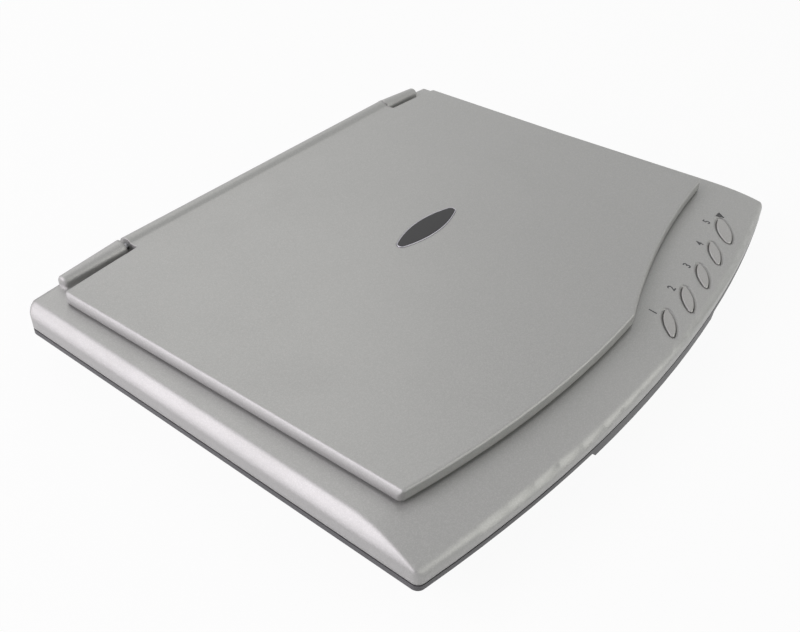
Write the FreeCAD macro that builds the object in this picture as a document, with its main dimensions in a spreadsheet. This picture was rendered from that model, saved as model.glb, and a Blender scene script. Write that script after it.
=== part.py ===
"""Slim flatbed scanner with a hinged cover, in millimetres.

+Z is up, the front with the buttons faces -Y and the hinge runs along the rear.
The origin is the middle of the footprint, at the level of the soles of the feet.
"""
import FreeCAD, Part
import Sketcher
import math
import os
import re

Vector = FreeCAD.Vector
UP = Vector(0, 0, 1)
doc = FreeCAD.newDocument("flatbed_scanner")

# Driving sizes. Each word is an alias in the sheet called sizes.
DRIVING = {
    # the base, seen from above
    "base_width": 263.6, "front_flare": 8.8, "base_depth": 213.7,
    "front_bow": 15.1, "rear_bow": 6.0, "corner_radius": 3.0,
    # the base, from the floor up
    "foot_rise": 2.0, "taper_rise": 11.0, "taper_inset": 11.0, "rim_rise": 2.8,
    "wall_rise": 5.0, "bevel_rise": 5.0, "bevel_inset": 4.1, "bevel_bulge": 0.5,
    "slope_run": 30.0, "slope_drop": 4.7, "front_edge_radius": 3.0,
    "side_wall": 2.2, "top_wall": 2.0, "tray_floor": 2.0, "tray_wall": 2.4,
    "groove_rise": 0.7, "groove_inset": 0.5, "lip_rise": 1.5, "lip_wall": 1.0,
    "lip_gap": 0.15, "chin_width": 100.0, "chin_drop": 2.6, "chin_wall": 5.0,
    # the window
    "window_side_margin": 24.8, "window_front_margin": 45.85, "window_rear_margin": 18.85,
    "window_corner": 3.0, "glass_thick": 2.0, "glass_lap": 5.0, "tape_thick": 0.2,
    "tape_inset": 0.5, "white_strip_width": 2.8,
    # the cover
    "lid_margin": 11.8, "lid_setback": 10.8, "lid_rear_bow": 6.0, "lid_gap": 0.9,
    "lid_thick": 4.4, "lid_flare": 1.2, "lid_bevel_rise": 3.0, "lid_side_bulge": 0.2,
    "lid_edge_radius": 0.8, "lid_corner_radius": 2.5, "lid_top_wall": 1.6,
    "lid_skirt": 1.6, "lid_cut_spare": 0.05, "lid_front_margin": 18.35,
    "lid_front_bow": 4.85, "nose_lead": 13.6, "cut_start_margin": 18.65,
    "cut_middle_lead": 36.5, "cut_middle_margin": 33.65, "cut_end_margin": 26.65,
    "liner_thick": 1.0, "liner_gap": 0.2, "pad_margin": 1.5, "pad_cover_thick": 0.8,
    "seat_gap": 0.3,
    "badge_length": 39.2, "badge_width": 10.6, "badge_recess": 0.6, "badge_proud": 0.3,
    "badge_across": 5.6, "badge_along": 9.65, "badge_edge": 0.25,
    # the hinge
    "hinge_setback": 7.0, "hinge_rise": 2.7, "barrel_radius": 4.0, "trough_gap": 0.4,
    "trough_wall": 1.4, "blend_radius": 1.6, "web_lift": 0.8,
    "left_lug_inner": 85.2, "left_lug_outer": 115.3, "left_barrel_gap": 2.6,
    "right_lug_inner": 89.0, "right_lug_outer": 116.0, "right_barrel_gap": 0.6,
    "lug_radius": 4.1, "lug_tip_radius": 2.8, "lug_tip_drop": 0.8, "lug_end_round": 1.2,
    "pin_radius": 1.5, "pin_fit": 0.06, "pin_in_lug": 9.0, "pin_in_barrel": 10.0,
    # the buttons
    "button_length": 15.4, "button_width": 5.3, "scan_button_length": 18.0,
    "scan_button_width": 7.0, "button_gap": 0.3, "button_tilt": 35.0,
    "oval_tip_fullness": 1.3, "button_proud": 0.2, "button_edge": 0.35, "well_width": 0.8,
    "well_drop": 0.4, "flange_thick": 0.8, "flange_wing": 1.3, "flange_gap": 0.3,
    "stem_radius": 1.4, "stem_gap": 0.05, "button_row_margin": 39.5, "button_pitch": 19.3,
    "button_setback": 8.8, "button_drift": 0.14, "lens_size": 4.6, "lens_gap": 0.15,
    "lens_clear": 2.4, "lens_setback": 15.8, "lens_seat_gap": 0.05, "guide_thick": 1.2,
    # the moving scan head
    "travel_margin": 2.0, "running_gap": 0.3, "sensor_overlap": 3.5, "sensor_width": 14.0,
    "spacer_rise": 0.4, "spring_rise": 0.8, "frame_width": 17.0, "frame_plate": 1.2,
    "frame_wall": 1.0, "frame_wall_rise": 5.0, "frame_end": 4.0, "frame_gap": 0.3,
    "rod_radius": 1.75, "rod_end_gap": 12.8, "rod_rise": 3.2, "bush_wall": 0.5,
    "bush_fit": 0.03, "bush_length": 4.0, "saddle_width": 9.0, "saddle_top": 2.7,
    "motor_radius": 7.5, "motor_height": 7.2, "shaft_radius": 0.75, "shaft_fit": 0.05,
    "gear_setback": 2.2, "axle_radius": 1.0, "axle_head_radius": 1.9, "axle_fit": 0.04,
    "rack_module": 0.8, "rack_gear_teeth": 10, "train_module": 0.5, "pinion_teeth": 10,
    "wheel_teeth": 28, "rack_gear_face": 2.7, "wheel_face": 1.6, "gear_lift": 0.6,
    "rack_height": 2.6, "rack_back": 3.2, "backlash": 0.12, "rail_rise": 4.8,
    "rail_width": 2.0,
    # boards, port, screws and feet
    "board_thick": 1.2, "main_board_width": 9.0, "main_board_gap": 0.5,
    "main_board_lift": 5.0, "board_post_radius": 2.0, "switch_setback": 19.0,
    "main_board_margin": 15.8, "board_setback": 9.85,
    "port_width": 7.7, "port_height": 3.9, "port_depth": 9.2, "port_shell": 0.4,
    "port_gap": 0.3, "port_recess": 0.6, "button_board_rise": 11.0,
    "button_board_margin": 5.5, "button_board_lead": 11.0, "button_board_setback": 6.0,
    "board_clear": 0.8, "switch_size": 4.5, "switch_height": 1.6, "plunger_height": 0.3,
    "button_travel": 0.5, "screw_radius": 1.3, "screw_head_radius": 2.5,
    "screw_head_height": 1.8, "screw_length": 9.5, "boss_radius": 3.5, "boss_gap": 0.2,
    "screw_recess": 3.0, "boss_rise": 7.0, "front_screw_margin": 13.8,
    "front_screw_along": 34.85, "rear_screw_across": 60.0, "rear_screw_setback": 6.45,
    "middle_screw_setback": 14.85, "small_screw_radius": 0.9, "small_head_radius": 1.6,
    "small_head_height": 0.8, "foot_radius": 5.0, "foot_seat": 0.5, "foot_round": 0.5,
    "foot_gap": 0.1, "foot_side_margin": 25.0, "front_foot_setback": 40.85,
    "rear_foot_setback": 20.85,
}

# Levels and lines that follow from the driving sizes. They fill the sheet called levels.
FOLLOWING = {
    # the base
    "front_line": "-base_depth / 2",
    "rear_line": "base_depth / 2",
    "front_corner": "front_line + front_bow",
    "rear_corner": "rear_line - rear_bow",
    "rear_half": "base_width / 2",
    "front_half": "(base_width + front_flare) / 2",
    "front_arc": "(front_half ^ 2 + front_bow ^ 2) / (2 * front_bow)",
    "rear_arc": "(rear_half ^ 2 + rear_bow ^ 2) / (2 * rear_bow)",
    "front_centre": "front_line + front_arc",
    "rear_centre": "rear_line - rear_arc",
    "floor_top": "foot_rise + tray_floor",
    "rim_foot": "foot_rise + taper_rise",
    "seam": "rim_foot + rim_rise",
    "belt": "seam + wall_rise",
    "base_top": "belt + bevel_rise",
    # the window
    "glass_top": "base_top - top_wall - tape_thick",
    "glass_bottom": "glass_top - glass_thick",
    "window_half": "rear_half - window_side_margin",
    "window_front": "front_line + window_front_margin",
    "window_rear": "rear_line - window_rear_margin",
    # the cover
    "lid_bottom": "base_top + lid_gap",
    "lid_top": "lid_bottom + lid_thick",
    "lid_half": "rear_half - lid_margin",
    "lid_ceiling": "lid_top - lid_top_wall",
    "lid_rear_corner": "rear_line - lid_setback - lid_rear_bow",
    "hinge_along": "rear_line - hinge_setback",
    "hinge_up": "base_top + hinge_rise",
    "barrel_left": "-left_lug_inner + left_barrel_gap",
    "barrel_right": "right_lug_inner - right_barrel_gap",
    # the scan head at home, at the left end of its travel
    "home": "-window_half + travel_margin",
    "rod_along": "(window_front + window_rear) / 2",
    "rod_up": "floor_top + rod_rise",
    "rod_half": "rear_half - rod_end_gap",
    "bush_radius": "rod_radius + bush_wall",
    "plate_bottom": "rod_up + saddle_top",
    "plate_top": "plate_bottom + frame_plate",
    "sensor_bottom": "plate_top + spring_rise",
    "sensor_top": "glass_bottom - running_gap - spacer_rise",
    "sensor_front": "window_front - sensor_overlap",
    "sensor_rear": "window_rear + sensor_overlap",
    "frame_rear": "sensor_rear + frame_end",
    "gear_along": "sensor_front - gear_setback",
    "rack_line": "gear_along + rack_module * rack_gear_teeth / 2",
    "rack_rear": "rack_line + 1.25 * rack_module + rack_back",
    "motor_along": "gear_along - train_module * (pinion_teeth + wheel_teeth) / 2",
    "frame_front": "motor_along - motor_radius - board_clear",
    "wheel_top": "plate_bottom - gear_lift",
    "wheel_bottom": "wheel_top - wheel_face",
    "gear_bottom": "wheel_bottom - rack_gear_face",
    # the button row and the boards under it
    "last_button_across": "front_half - button_row_margin",
    # boards and bosses
    "main_board_bottom": "floor_top + main_board_lift",
    "main_board_top": "main_board_bottom + board_thick",
    "main_board_left": "rear_half - main_board_margin",
    "main_board_rear": "rear_line - board_setback",
    "main_board_front": "rod_along + saddle_width + main_board_gap",
    "port_middle": "main_board_left + main_board_width / 2",
    "port_mouth": "rear_centre + sqrt(rear_arc ^ 2 - port_middle ^ 2) - port_recess",
    "button_board_bottom": "floor_top + button_board_rise",
    "button_board_top": "button_board_bottom + board_thick",
    "button_board_rear": "frame_front - board_clear",
    "switch_top": "button_board_top + switch_height + plunger_height",
    "boss_top": "foot_rise + boss_rise",
    "screw_seat": "foot_rise + screw_recess",
    "front_screw_across": "rear_half - front_screw_margin",
    "front_screw_line": "front_line + front_screw_along",
    "rear_screw_line": "rear_line - rear_screw_setback",
    "middle_screw_line": "front_line + middle_screw_setback",
}

WORD = re.compile("[a-z][a-z_]+")


def fill_sheet(name, cells):
    """Make a sheet with one aliased cell for each entry."""
    sheet = doc.addObject("Spreadsheet::Sheet", name)
    for row, (word, content) in enumerate(cells.items(), start=1):
        sheet.set("A%d" % row, word)
        sheet.set("B%d" % row, str(content))
        sheet.setAlias("B%d" % row, word)
    doc.recompute()
    return sheet


def in_levels(formula):
    """Write a formula of the levels sheet with its references to the other sheet."""
    return "=" + WORD.sub(lambda found: "sizes." * (found[0] in DRIVING) + found[0], formula)


def bound(formula):
    """Write a formula in plain words with the sheet of each word."""
    def with_sheet(found):
        if found[0] in DRIVING:
            return "sizes." + found[0]
        if found[0] in FOLLOWING:
            return "levels." + found[0]
        return found[0]
    return WORD.sub(with_sheet, formula)


sizes = fill_sheet("sizes", DRIVING)
levels = fill_sheet("levels", {word: in_levels(text) for word, text in FOLLOWING.items()})


class Cells:
    """Reads a cell of either sheet by its word."""

    def __getattr__(self, word):
        sheet = sizes if word in DRIVING else levels
        return float(sheet.get(word))


cell = Cells()
nodes = []


def node(item):
    """Mark an object as a finished piece of the scanner."""
    nodes.append(item)
    return item


def feature(name, shape):
    """Hold a shape that is worked out below as a finished piece."""
    item = doc.addObject("Part::Feature", name)
    item.Shape = shape
    item.Placement = FreeCAD.Placement()
    return node(item)


# Bound primitives and booleans

AXIS_TURN = {
    "x": FreeCAD.Rotation(Vector(0, 1, 0), 90),
    "y": FreeCAD.Rotation(Vector(1, 0, 0), -90),
    "z": FreeCAD.Rotation(),
}


def place(item, x, y, z):
    """Tie an object's position to three formulas."""
    for axis, formula in zip("xyz", (x, y, z)):
        item.setExpression("Placement.Base." + axis, bound(formula))


def block(name, x, y, z):
    """A box between a low and a high formula on each axis."""
    item = doc.addObject("Part::Box", name)
    place(item, x[0], y[0], z[0])
    for size, (low, high) in zip(("Length", "Width", "Height"), (x, y, z)):
        item.setExpression(size, bound("(%s) - (%s)" % (high, low)))
    return item


def round_bar(name, axis, radius, start, length):
    """A cylinder along one axis, from a start point given as three formulas."""
    item = doc.addObject("Part::Cylinder", name)
    item.Placement = FreeCAD.Placement(Vector(), AXIS_TURN[axis])
    place(item, *start)
    item.setExpression("Radius", bound(radius))
    item.setExpression("Height", bound(length))
    return item


def join(name, *items):
    """Fuse several objects into one solid."""
    item = doc.addObject("Part::MultiFuse", name)
    item.Shapes = list(items)
    item.Refine = True
    return item


def carve(name, base, *tools):
    """Cut one or more objects out of another."""
    item = doc.addObject("Part::Cut", name)
    item.Base = base
    item.Tool = tools[0] if len(tools) == 1 else join(name + "_tools", *tools)
    item.Refine = True
    return item


def group(name, *items):
    """Keep several like pieces together as one node of separate solids."""
    item = doc.addObject("Part::Compound", name)
    item.Links = list(items)
    return node(item)


# Bodies with sketches

def new_sketch(body, name, role, level="0"):
    """A sketch on one of a body's own origin planes, lifted by a formula."""
    sketch = body.newObject("Sketcher::SketchObject", name)
    plane = next(item for item in body.Origin.OriginFeatures if item.Role == role)
    sketch.AttachmentSupport = [(plane, "")]
    sketch.MapMode = "FlatFace"
    sketch.setExpression("AttachmentOffset.Base.z", bound(level))
    return sketch


def tie(sketch, kind, ends, formula):
    """Add a driving distance to a sketch and bind it."""
    value = sketch.evalExpression(bound(formula))
    row = sketch.addConstraint(Sketcher.Constraint(kind, *ends, float(value)))
    sketch.setExpression("Constraints[%d]" % row, bound(formula))


def draw_outline(sketch, corners):
    """Add a closed outline of straight lines through corners given as formulas."""
    places = []
    for across, along in corners:
        u = float(sketch.evalExpression(bound(across)))
        v = float(sketch.evalExpression(bound(along)))
        places.append(Vector(u, v, 0))
    first = len(sketch.Geometry)
    count = len(places)
    for k in range(count):
        sketch.addGeometry(Part.LineSegment(places[k], places[(k + 1) % count]), False)
    for k in range(count):
        ends = (first + k, 2, first + (k + 1) % count, 1)
        sketch.addConstraint(Sketcher.Constraint("Coincident", *ends))
    for k, (across, along) in enumerate(corners):
        tie(sketch, "DistanceX", (-1, 1, first + k, 1), across)
        tie(sketch, "DistanceY", (-1, 1, first + k, 1), along)


def draw_rectangle(sketch, u, v):
    """Add a rectangle between a low and a high formula on each sketch axis."""
    draw_outline(sketch, [(u[0], v[0]), (u[1], v[0]), (u[1], v[1]), (u[0], v[1])])


def draw_circle(sketch, centre, radius):
    """Add a circle with its centre and radius given as formulas."""
    u, v = [float(sketch.evalExpression(bound(text))) for text in centre]
    size = float(sketch.evalExpression(bound(radius)))
    ring = sketch.addGeometry(Part.Circle(Vector(u, v, 0), UP, size), False)
    tie(sketch, "DistanceX", (-1, 1, ring, 3), centre[0])
    tie(sketch, "DistanceY", (-1, 1, ring, 3), centre[1])
    tie(sketch, "Radius", (ring,), radius)


def pad(body, sketch, length, name, downward=False):
    """Add material over a sketch."""
    item = body.newObject("PartDesign::Pad", name)
    item.Profile = sketch
    item.Reversed = downward
    item.setExpression("Length", bound(length))
    doc.recompute()
    return item


def pocket(body, sketch, length, name, backward=False):
    """Remove material under a sketch, and check that something was removed."""
    before = body.Shape.Volume
    item = body.newObject("PartDesign::Pocket", name)
    item.Profile = sketch
    item.Reversed = backward
    item.setExpression("Length", bound(length))
    doc.recompute()
    if body.Shape.Volume > before - 0.01:
        raise RuntimeError(name + " cuts nothing")
    return item


# The outer form of the base

def side_at(along, wall):
    """Half the width of the base at a distance along Y, inside a wall."""
    share = (cell.rear_corner - along) / (cell.rear_corner - cell.front_corner)
    return cell.rear_half + share * (cell.front_half - cell.rear_half) - wall


def corner_line(centre, radius, toward, wall):
    """Where a side of the base meets its front (-1) or rear (+1) arc."""
    along = centre + toward * radius
    for _ in range(20):
        along = centre + toward * math.sqrt(radius ** 2 - side_at(along, wall) ** 2)
    return along


def base_plan(wall, rear_wall, level):
    """Face of the base's outline inside its walls, with rounded corners."""
    round_off = cell.corner_radius
    inset = wall + round_off
    front_radius = cell.front_arc - inset
    rear_radius = cell.rear_arc - rear_wall - round_off
    front = corner_line(cell.front_centre, front_radius, -1, inset)
    rear = corner_line(cell.rear_centre, rear_radius, 1, inset)
    front_right = Vector(side_at(front, inset), front, level)
    rear_right = Vector(side_at(rear, inset), rear, level)
    front_left = Vector(-front_right.x, front, level)
    rear_left = Vector(-rear_right.x, rear, level)
    front_middle = Vector(0, cell.front_centre - front_radius, level)
    rear_middle = Vector(0, cell.rear_centre + rear_radius, level)
    edges = [
        Part.Arc(front_left, front_middle, front_right).toShape(),
        Part.LineSegment(front_right, rear_right).toShape(),
        Part.Arc(rear_right, rear_middle, rear_left).toShape(),
        Part.LineSegment(rear_left, front_left).toShape(),
    ]
    return Part.Face(Part.Wire(edges)).makeOffset2D(round_off)


def base_prism(wall, rear_wall, bottom, top):
    """The base's outline as an upright prism."""
    return base_plan(wall, rear_wall, bottom).extrude(Vector(0, 0, top - bottom))


def above_crown(rise, wall):
    """Everything over the base's top and its curved fall to the front wall.

    The section is drawn by distance from the upright axis of the front arc, then turned.
    """
    front = cell.front_arc - wall
    crest = cell.front_arc - cell.slope_run
    fall = (cell.slope_run ** 2 + cell.slope_drop ** 2) / (2 * cell.slope_drop)
    middle_up = cell.base_top - fall
    fall += rise
    edge = max(cell.front_edge_radius - wall, 0.5)
    edge_up = middle_up + math.sqrt((fall - edge) ** 2 - (front - edge - crest) ** 2)

    def spot(radius, height):
        return Vector(0, cell.front_centre - radius, height)

    slope_middle = spot(crest, middle_up)
    edge_middle = spot(front - edge, edge_up)
    toward = (edge_middle - slope_middle).normalize()
    foot = spot(front, edge_up)
    knee = slope_middle + toward * fall
    top = spot(crest, middle_up + fall)
    edge_half = edge_middle + ((foot - edge_middle) + (knee - edge_middle)).normalize() * edge
    slope_half = slope_middle + ((knee - slope_middle) + (top - slope_middle)).normalize() * fall
    reach = 10.0
    back = cell.front_arc - cell.base_depth - reach
    over = top.z + reach
    edges = [
        Part.Arc(foot, edge_half, knee).toShape(),
        Part.Arc(knee, slope_half, top).toShape(),
        Part.makePolygon([top, spot(back, top.z), spot(back, over),
                          spot(front + reach, over), spot(front + reach, edge_up), foot]),
    ]
    section = Part.Face(Part.Wire(Part.Wire(edges[:2]).Edges + edges[2].Edges))
    half_turn = math.degrees(math.asin((cell.front_half + reach) / back))
    axis = Vector(0, cell.front_centre, 0)
    section.rotate(axis, UP, -half_turn)
    return section.revolve(axis, UP, 2 * half_turn)


def beside_bevel(side, drop, wall):
    """Everything outside the curved bevel along one side of the base."""
    reach = 12.0
    run = math.hypot(cell.bevel_inset, cell.bevel_rise)
    bulge_across = cell.bevel_bulge * cell.bevel_rise / run
    bulge_up = cell.bevel_bulge * cell.bevel_inset / run
    belt = cell.belt - drop
    top = cell.base_top - drop
    wires = []
    for along in (cell.front_line - reach, cell.rear_line + reach):
        wide = side_at(along, wall)
        foot = Vector(side * wide, along, belt)
        half = Vector(side * (wide - cell.bevel_inset / 2 + bulge_across), along,
                      (belt + top) / 2 + bulge_up)
        crease = Vector(side * (wide - cell.bevel_inset), along, top)
        outside = [crease, Vector(crease.x, along, top + reach),
                   Vector(side * (wide + reach), along, top + reach),
                   Vector(side * (wide + reach), along, belt), foot]
        arc = Part.Arc(foot, half, crease).toShape()
        wires.append(Part.Wire([arc] + Part.makePolygon(outside).Edges))
    return Part.makeLoft(wires, True, True)


def housing_form(wall, roof, bottom):
    """The upper housing as a full solid, inside a side wall and under a roof."""
    form = base_prism(wall, wall, bottom, cell.base_top + 1)
    tools = [above_crown(-roof, wall), beside_bevel(1, roof, wall), beside_bevel(-1, roof, wall)]
    return form.cut(tools)


def rounded_block(x, y, z, radius):
    """A box with rounded upright corners, from low and high numbers on each axis."""
    form = Part.makeBox(x[1] - x[0], y[1] - y[0], z[1] - z[0], Vector(x[0], y[0], z[0]))
    upright = [edge for edge in form.Edges if abs(edge.tangentAt(0).z) > 0.9]
    return form.makeFillet(radius, upright)


def post(spot, radius, bottom, top):
    """An upright cylinder between two levels."""
    return Part.makeCylinder(radius, top - bottom, Vector(spot.x, spot.y, bottom))


# The buttons along the front

BUTTONS = 5


def from_front_edge(across, setback):
    """A point in plan at a distance from the front arc, measured toward its axis."""
    radius = cell.front_arc - setback
    return Vector(across, cell.front_centre - math.sqrt(radius ** 2 - across ** 2), 0)


def button_spot(k):
    """The middle of a button in plan. The row drifts away from the front edge."""
    across = cell.last_button_across - (BUTTONS - 1 - k) * cell.button_pitch
    return from_front_edge(across, cell.button_setback + cell.button_drift * k * k)


def oval_bar(spot, length, width, grow, bottom, top, tilt=0.0):
    """An upright bar whose section is an oval of four tangent arcs, grown all round."""
    half_long = length / 2
    half_wide = width / 2
    tip = cell.oval_tip_fullness * half_wide ** 2 / half_long
    flat = (half_long ** 2 + half_wide ** 2 - 2 * half_long * tip) / (2 * (half_wide - tip))
    tip_middle = half_long - tip
    flat_middle = flat - half_wide
    lean = math.atan2(flat_middle, tip_middle)
    tip += grow
    flat += grow

    def at(across, along):
        return Vector(spot.x + across, spot.y + along, bottom)

    meet_across = tip_middle + tip * math.cos(lean)
    meet_along = tip * math.sin(lean)
    right = Part.Arc(at(meet_across, -meet_along), at(tip_middle + tip, 0),
                     at(meet_across, meet_along))
    rear = Part.Arc(at(meet_across, meet_along), at(0, flat - flat_middle),
                    at(-meet_across, meet_along))
    left = Part.Arc(at(-meet_across, meet_along), at(-tip_middle - tip, 0),
                    at(-meet_across, -meet_along))
    front = Part.Arc(at(-meet_across, -meet_along), at(0, flat_middle - flat),
                     at(meet_across, -meet_along))
    outline = Part.Wire([arc.toShape() for arc in (right, rear, left, front)])
    outline.rotate(Vector(spot.x, spot.y, bottom), UP, tilt)
    return Part.Face(outline).extrude(Vector(0, 0, top - bottom))


def button_oval(k, grow, bottom, top):
    """An upright oval bar at a button, grown all round. The last button is the large one."""
    last = k == BUTTONS - 1
    length = cell.scan_button_length if last else cell.button_length
    width = cell.scan_button_width if last else cell.button_width
    return oval_bar(button_spot(k), length, width, grow, bottom, top, cell.button_tilt)


def under_crown(drop):
    """Everything over a surface that lies a drop below the top and inside the front wall."""
    return above_crown(-drop, cell.side_wall + cell.flange_gap)


def button(k):
    """One button: its cap, the flange that holds it in, and the stem over its switch."""
    flange_top = cell.top_wall + cell.flange_gap
    over = cell.base_top + 2
    cap = button_oval(k, -cell.button_gap, cell.seam, over)
    cap = cap.cut([above_crown(cell.button_proud, 0)])
    rim = [edge for edge in cap.Edges
           if edge.BoundBox.ZMin > cell.seam + 1 and abs(edge.tangentAt(0).z) < 0.9]
    cap = cap.makeChamfer(cell.button_edge, rim)
    flange = button_oval(k, cell.flange_wing, cell.seam, over).cut([under_crown(flange_top)])
    hollow = button_oval(k, cell.flange_wing + 1, cell.seam - 1, over)
    under = under_crown(flange_top + cell.flange_thick)
    inset = cell.side_wall + cell.flange_gap
    flange = flange.common(under).common(base_prism(inset, inset, cell.rim_foot, over))
    if k == BUTTONS - 1:
        flange = flange.cut([lens_clearance()])
    cap = cap.common(hollow.common(under))
    spot = button_spot(k)
    rest = cell.switch_top + cell.button_travel + cell.stem_gap
    stem = post(spot, cell.stem_radius, rest, cell.base_top)
    stem = stem.cut([under_crown(flange_top + cell.flange_thick / 2)])
    return cap.fuse([flange, stem]).removeSplitter()


def lens_spot():
    """The middle of the indicator lens in plan."""
    reach = cell.scan_button_length / 2 * math.cos(math.radians(cell.button_tilt))
    across = cell.last_button_across + reach + cell.lens_clear
    return from_front_edge(across, cell.lens_setback)


def lens_wedge(grow, bottom, top):
    """The upright triangular bar of the indicator, pointing to the front."""
    spot = lens_spot()
    reach = cell.lens_size / math.sqrt(3) + 2 * grow
    corners = []
    for turn in (-90, 30, 150):
        angle = math.radians(turn)
        corners.append(Vector(spot.x + reach * math.cos(angle),
                              spot.y + reach * math.sin(angle), bottom))
    face = Part.Face(Part.makePolygon(corners + corners[:1]))
    return face.extrude(Vector(0, 0, top - bottom))


def lens_clearance():
    """The room that the large button's flange leaves for the lens and its guide."""
    spot = lens_spot()
    reach = cell.lens_size / math.sqrt(3) + cell.flange_wing
    start = spot.x - reach * math.cos(math.radians(30)) - cell.flange_gap
    front = cell.front_line
    return Part.makeBox(2 * reach, spot.y + 2 * reach - front, cell.base_top - cell.foot_rise,
                        Vector(start, front, cell.foot_rise))


def led_spot():
    """The indicator's lamp stands on the button board, ahead of the lens."""
    spot = lens_spot()
    return Vector(spot.x, cell.button_board_rear - cell.lens_size / 2, 0)


def indicator_lens():
    """Clear wedge in the top, with a light guide that reaches forward over the lamp."""
    spot = lens_spot()
    lamp = led_spot()
    over = cell.base_top + 1
    guide_up = cell.switch_top + 2 * cell.plunger_height + cell.guide_thick
    head = lens_wedge(-cell.lens_gap, guide_up, over).cut([above_crown(0, 0)])
    half = cell.lens_size / 4
    guide = Part.makeBox(2 * half, spot.y + half - lamp.y + half, cell.guide_thick,
                         Vector(spot.x - half, lamp.y - half, guide_up))
    flange = lens_wedge(cell.flange_wing / 2, guide_up, over)
    flange = flange.cut([above_crown(-cell.top_wall - cell.lens_seat_gap, cell.side_wall)])
    flange = flange.common(above_crown(-cell.top_wall - cell.flange_thick, cell.side_wall))
    flange = flange.cut([button_oval(BUTTONS - 1, cell.flange_gap, guide_up - 1, over)])
    return head.fuse([guide, flange]).removeSplitter()


# The screws and bosses that hold the base together

def screw_spots():
    """Where the long screws come up through the tray into the upper housing."""
    return [
        Vector(-cell.front_screw_across, cell.front_screw_line, 0),
        Vector(cell.front_screw_across, cell.front_screw_line, 0),
        Vector(0, cell.middle_screw_line, 0),
        Vector(-cell.rear_screw_across, cell.rear_screw_line, 0),
        Vector(cell.rear_screw_across, cell.rear_screw_line, 0),
    ]


def board_post_spots():
    """The button board hangs from two posts, each halfway between two buttons."""
    return [(button_spot(k) + button_spot(k + 1)) / 2 for k in (0, 2)]


def lug(inner, outer):
    """One moulded ear beside the cover's barrel: arched, and tapering outward."""
    foot = cell.base_top - cell.blend_radius
    wires = []
    ends = ((inner, cell.lug_radius, cell.hinge_up),
            (outer, cell.lug_tip_radius, cell.hinge_up - cell.lug_tip_drop))
    for across, radius, up in ends:
        front = cell.hinge_along - radius
        rear = cell.hinge_along + radius
        arch = Part.Arc(Vector(across, front, up), Vector(across, cell.hinge_along, up + radius),
                        Vector(across, rear, up)).toShape()
        legs = Part.makePolygon([Vector(across, rear, up), Vector(across, rear, foot),
                                 Vector(across, front, foot), Vector(across, front, up)])
        wires.append(Part.Wire([arch] + legs.Edges))
    form = Part.makeLoft(wires, True, True)
    tip = [edge for edge in form.Edges
           if abs(edge.BoundBox.XMin - outer) < 0.01 and edge.BoundBox.XLength < 0.01
           and edge.BoundBox.ZMin > foot - 0.01 and edge.BoundBox.ZLength > 0.01]
    return form.makeFillet(cell.lug_end_round, tip)


def upper_housing():
    """The silver top shell with its curved front, window, hinge lugs and trough."""
    outer = housing_form(0, 0, cell.seam)
    inner = housing_form(cell.side_wall, cell.top_wall, cell.seam - 1)
    shell = outer.cut(inner)
    room = housing_form(cell.side_wall / 2, cell.top_wall / 2, cell.boss_top)

    trough = cell.barrel_radius + cell.trough_gap
    rib_reach = trough + cell.trough_wall
    rib_bottom = cell.hinge_up - rib_reach
    rib = Part.makeBox(cell.left_lug_inner + cell.right_lug_inner, 2 * rib_reach,
                       cell.base_top - rib_bottom,
                       Vector(-cell.left_lug_inner, cell.hinge_along - rib_reach, rib_bottom))
    posts = [post(spot, cell.boss_radius, cell.boss_top, cell.base_top) for spot in screw_spots()]
    posts += [post(spot, cell.small_head_radius + cell.lip_wall / 2, cell.button_board_top,
                   cell.base_top) for spot in board_post_spots()]
    inside = [item.common(room) for item in [rib] + posts]
    lugs = [lug(-cell.left_lug_inner, -cell.left_lug_outer),
            lug(cell.right_lug_inner, cell.right_lug_outer)]
    shell = shell.fuse(inside + lugs)

    window = rounded_block((-cell.window_half, cell.window_half),
                           (cell.window_front, cell.window_rear),
                           (cell.glass_top - 1, cell.base_top + 1), cell.window_corner)
    channel = Part.makeCylinder(trough, cell.left_lug_inner + cell.right_lug_inner,
                                Vector(-cell.left_lug_inner, cell.hinge_along, cell.hinge_up),
                                Vector(1, 0, 0))
    pins = [Part.makeCylinder(cell.pin_radius, cell.pin_in_lug,
                              Vector(-cell.left_lug_inner, cell.hinge_along, cell.hinge_up),
                              Vector(-1, 0, 0)),
            Part.makeCylinder(cell.pin_radius, cell.pin_in_lug,
                              Vector(cell.right_lug_inner, cell.hinge_along, cell.hinge_up),
                              Vector(1, 0, 0))]
    holes = [window, channel] + pins
    for k in range(BUTTONS):
        holes.append(button_oval(k, 0, cell.seam, cell.base_top + 1))
        well = button_oval(k, cell.well_width, cell.seam, cell.base_top + 1)
        holes.append(well.common(above_crown(-cell.well_drop, -1)))
    holes.append(lens_wedge(0, cell.seam, cell.base_top + 1))
    reach = cell.screw_length - (cell.boss_top - cell.screw_seat)
    for spot in screw_spots():
        holes.append(post(spot, cell.screw_radius, cell.boss_top - 1, cell.boss_top + reach))
    for spot in board_post_spots():
        holes.append(post(spot, cell.small_screw_radius, cell.button_board_top - 1,
                          cell.button_board_top + 2 * cell.board_thick))
    return shell.cut(holes).removeSplitter()


def post_range():
    """How far the rod's end posts reach along X and Y."""
    inner = cell.rod_half - cell.bush_length + cell.boss_gap * 2
    front = cell.rod_along - cell.saddle_width / 2
    return inner, cell.rod_half + cell.lip_rise, front, cell.rod_along + cell.saddle_width


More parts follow.
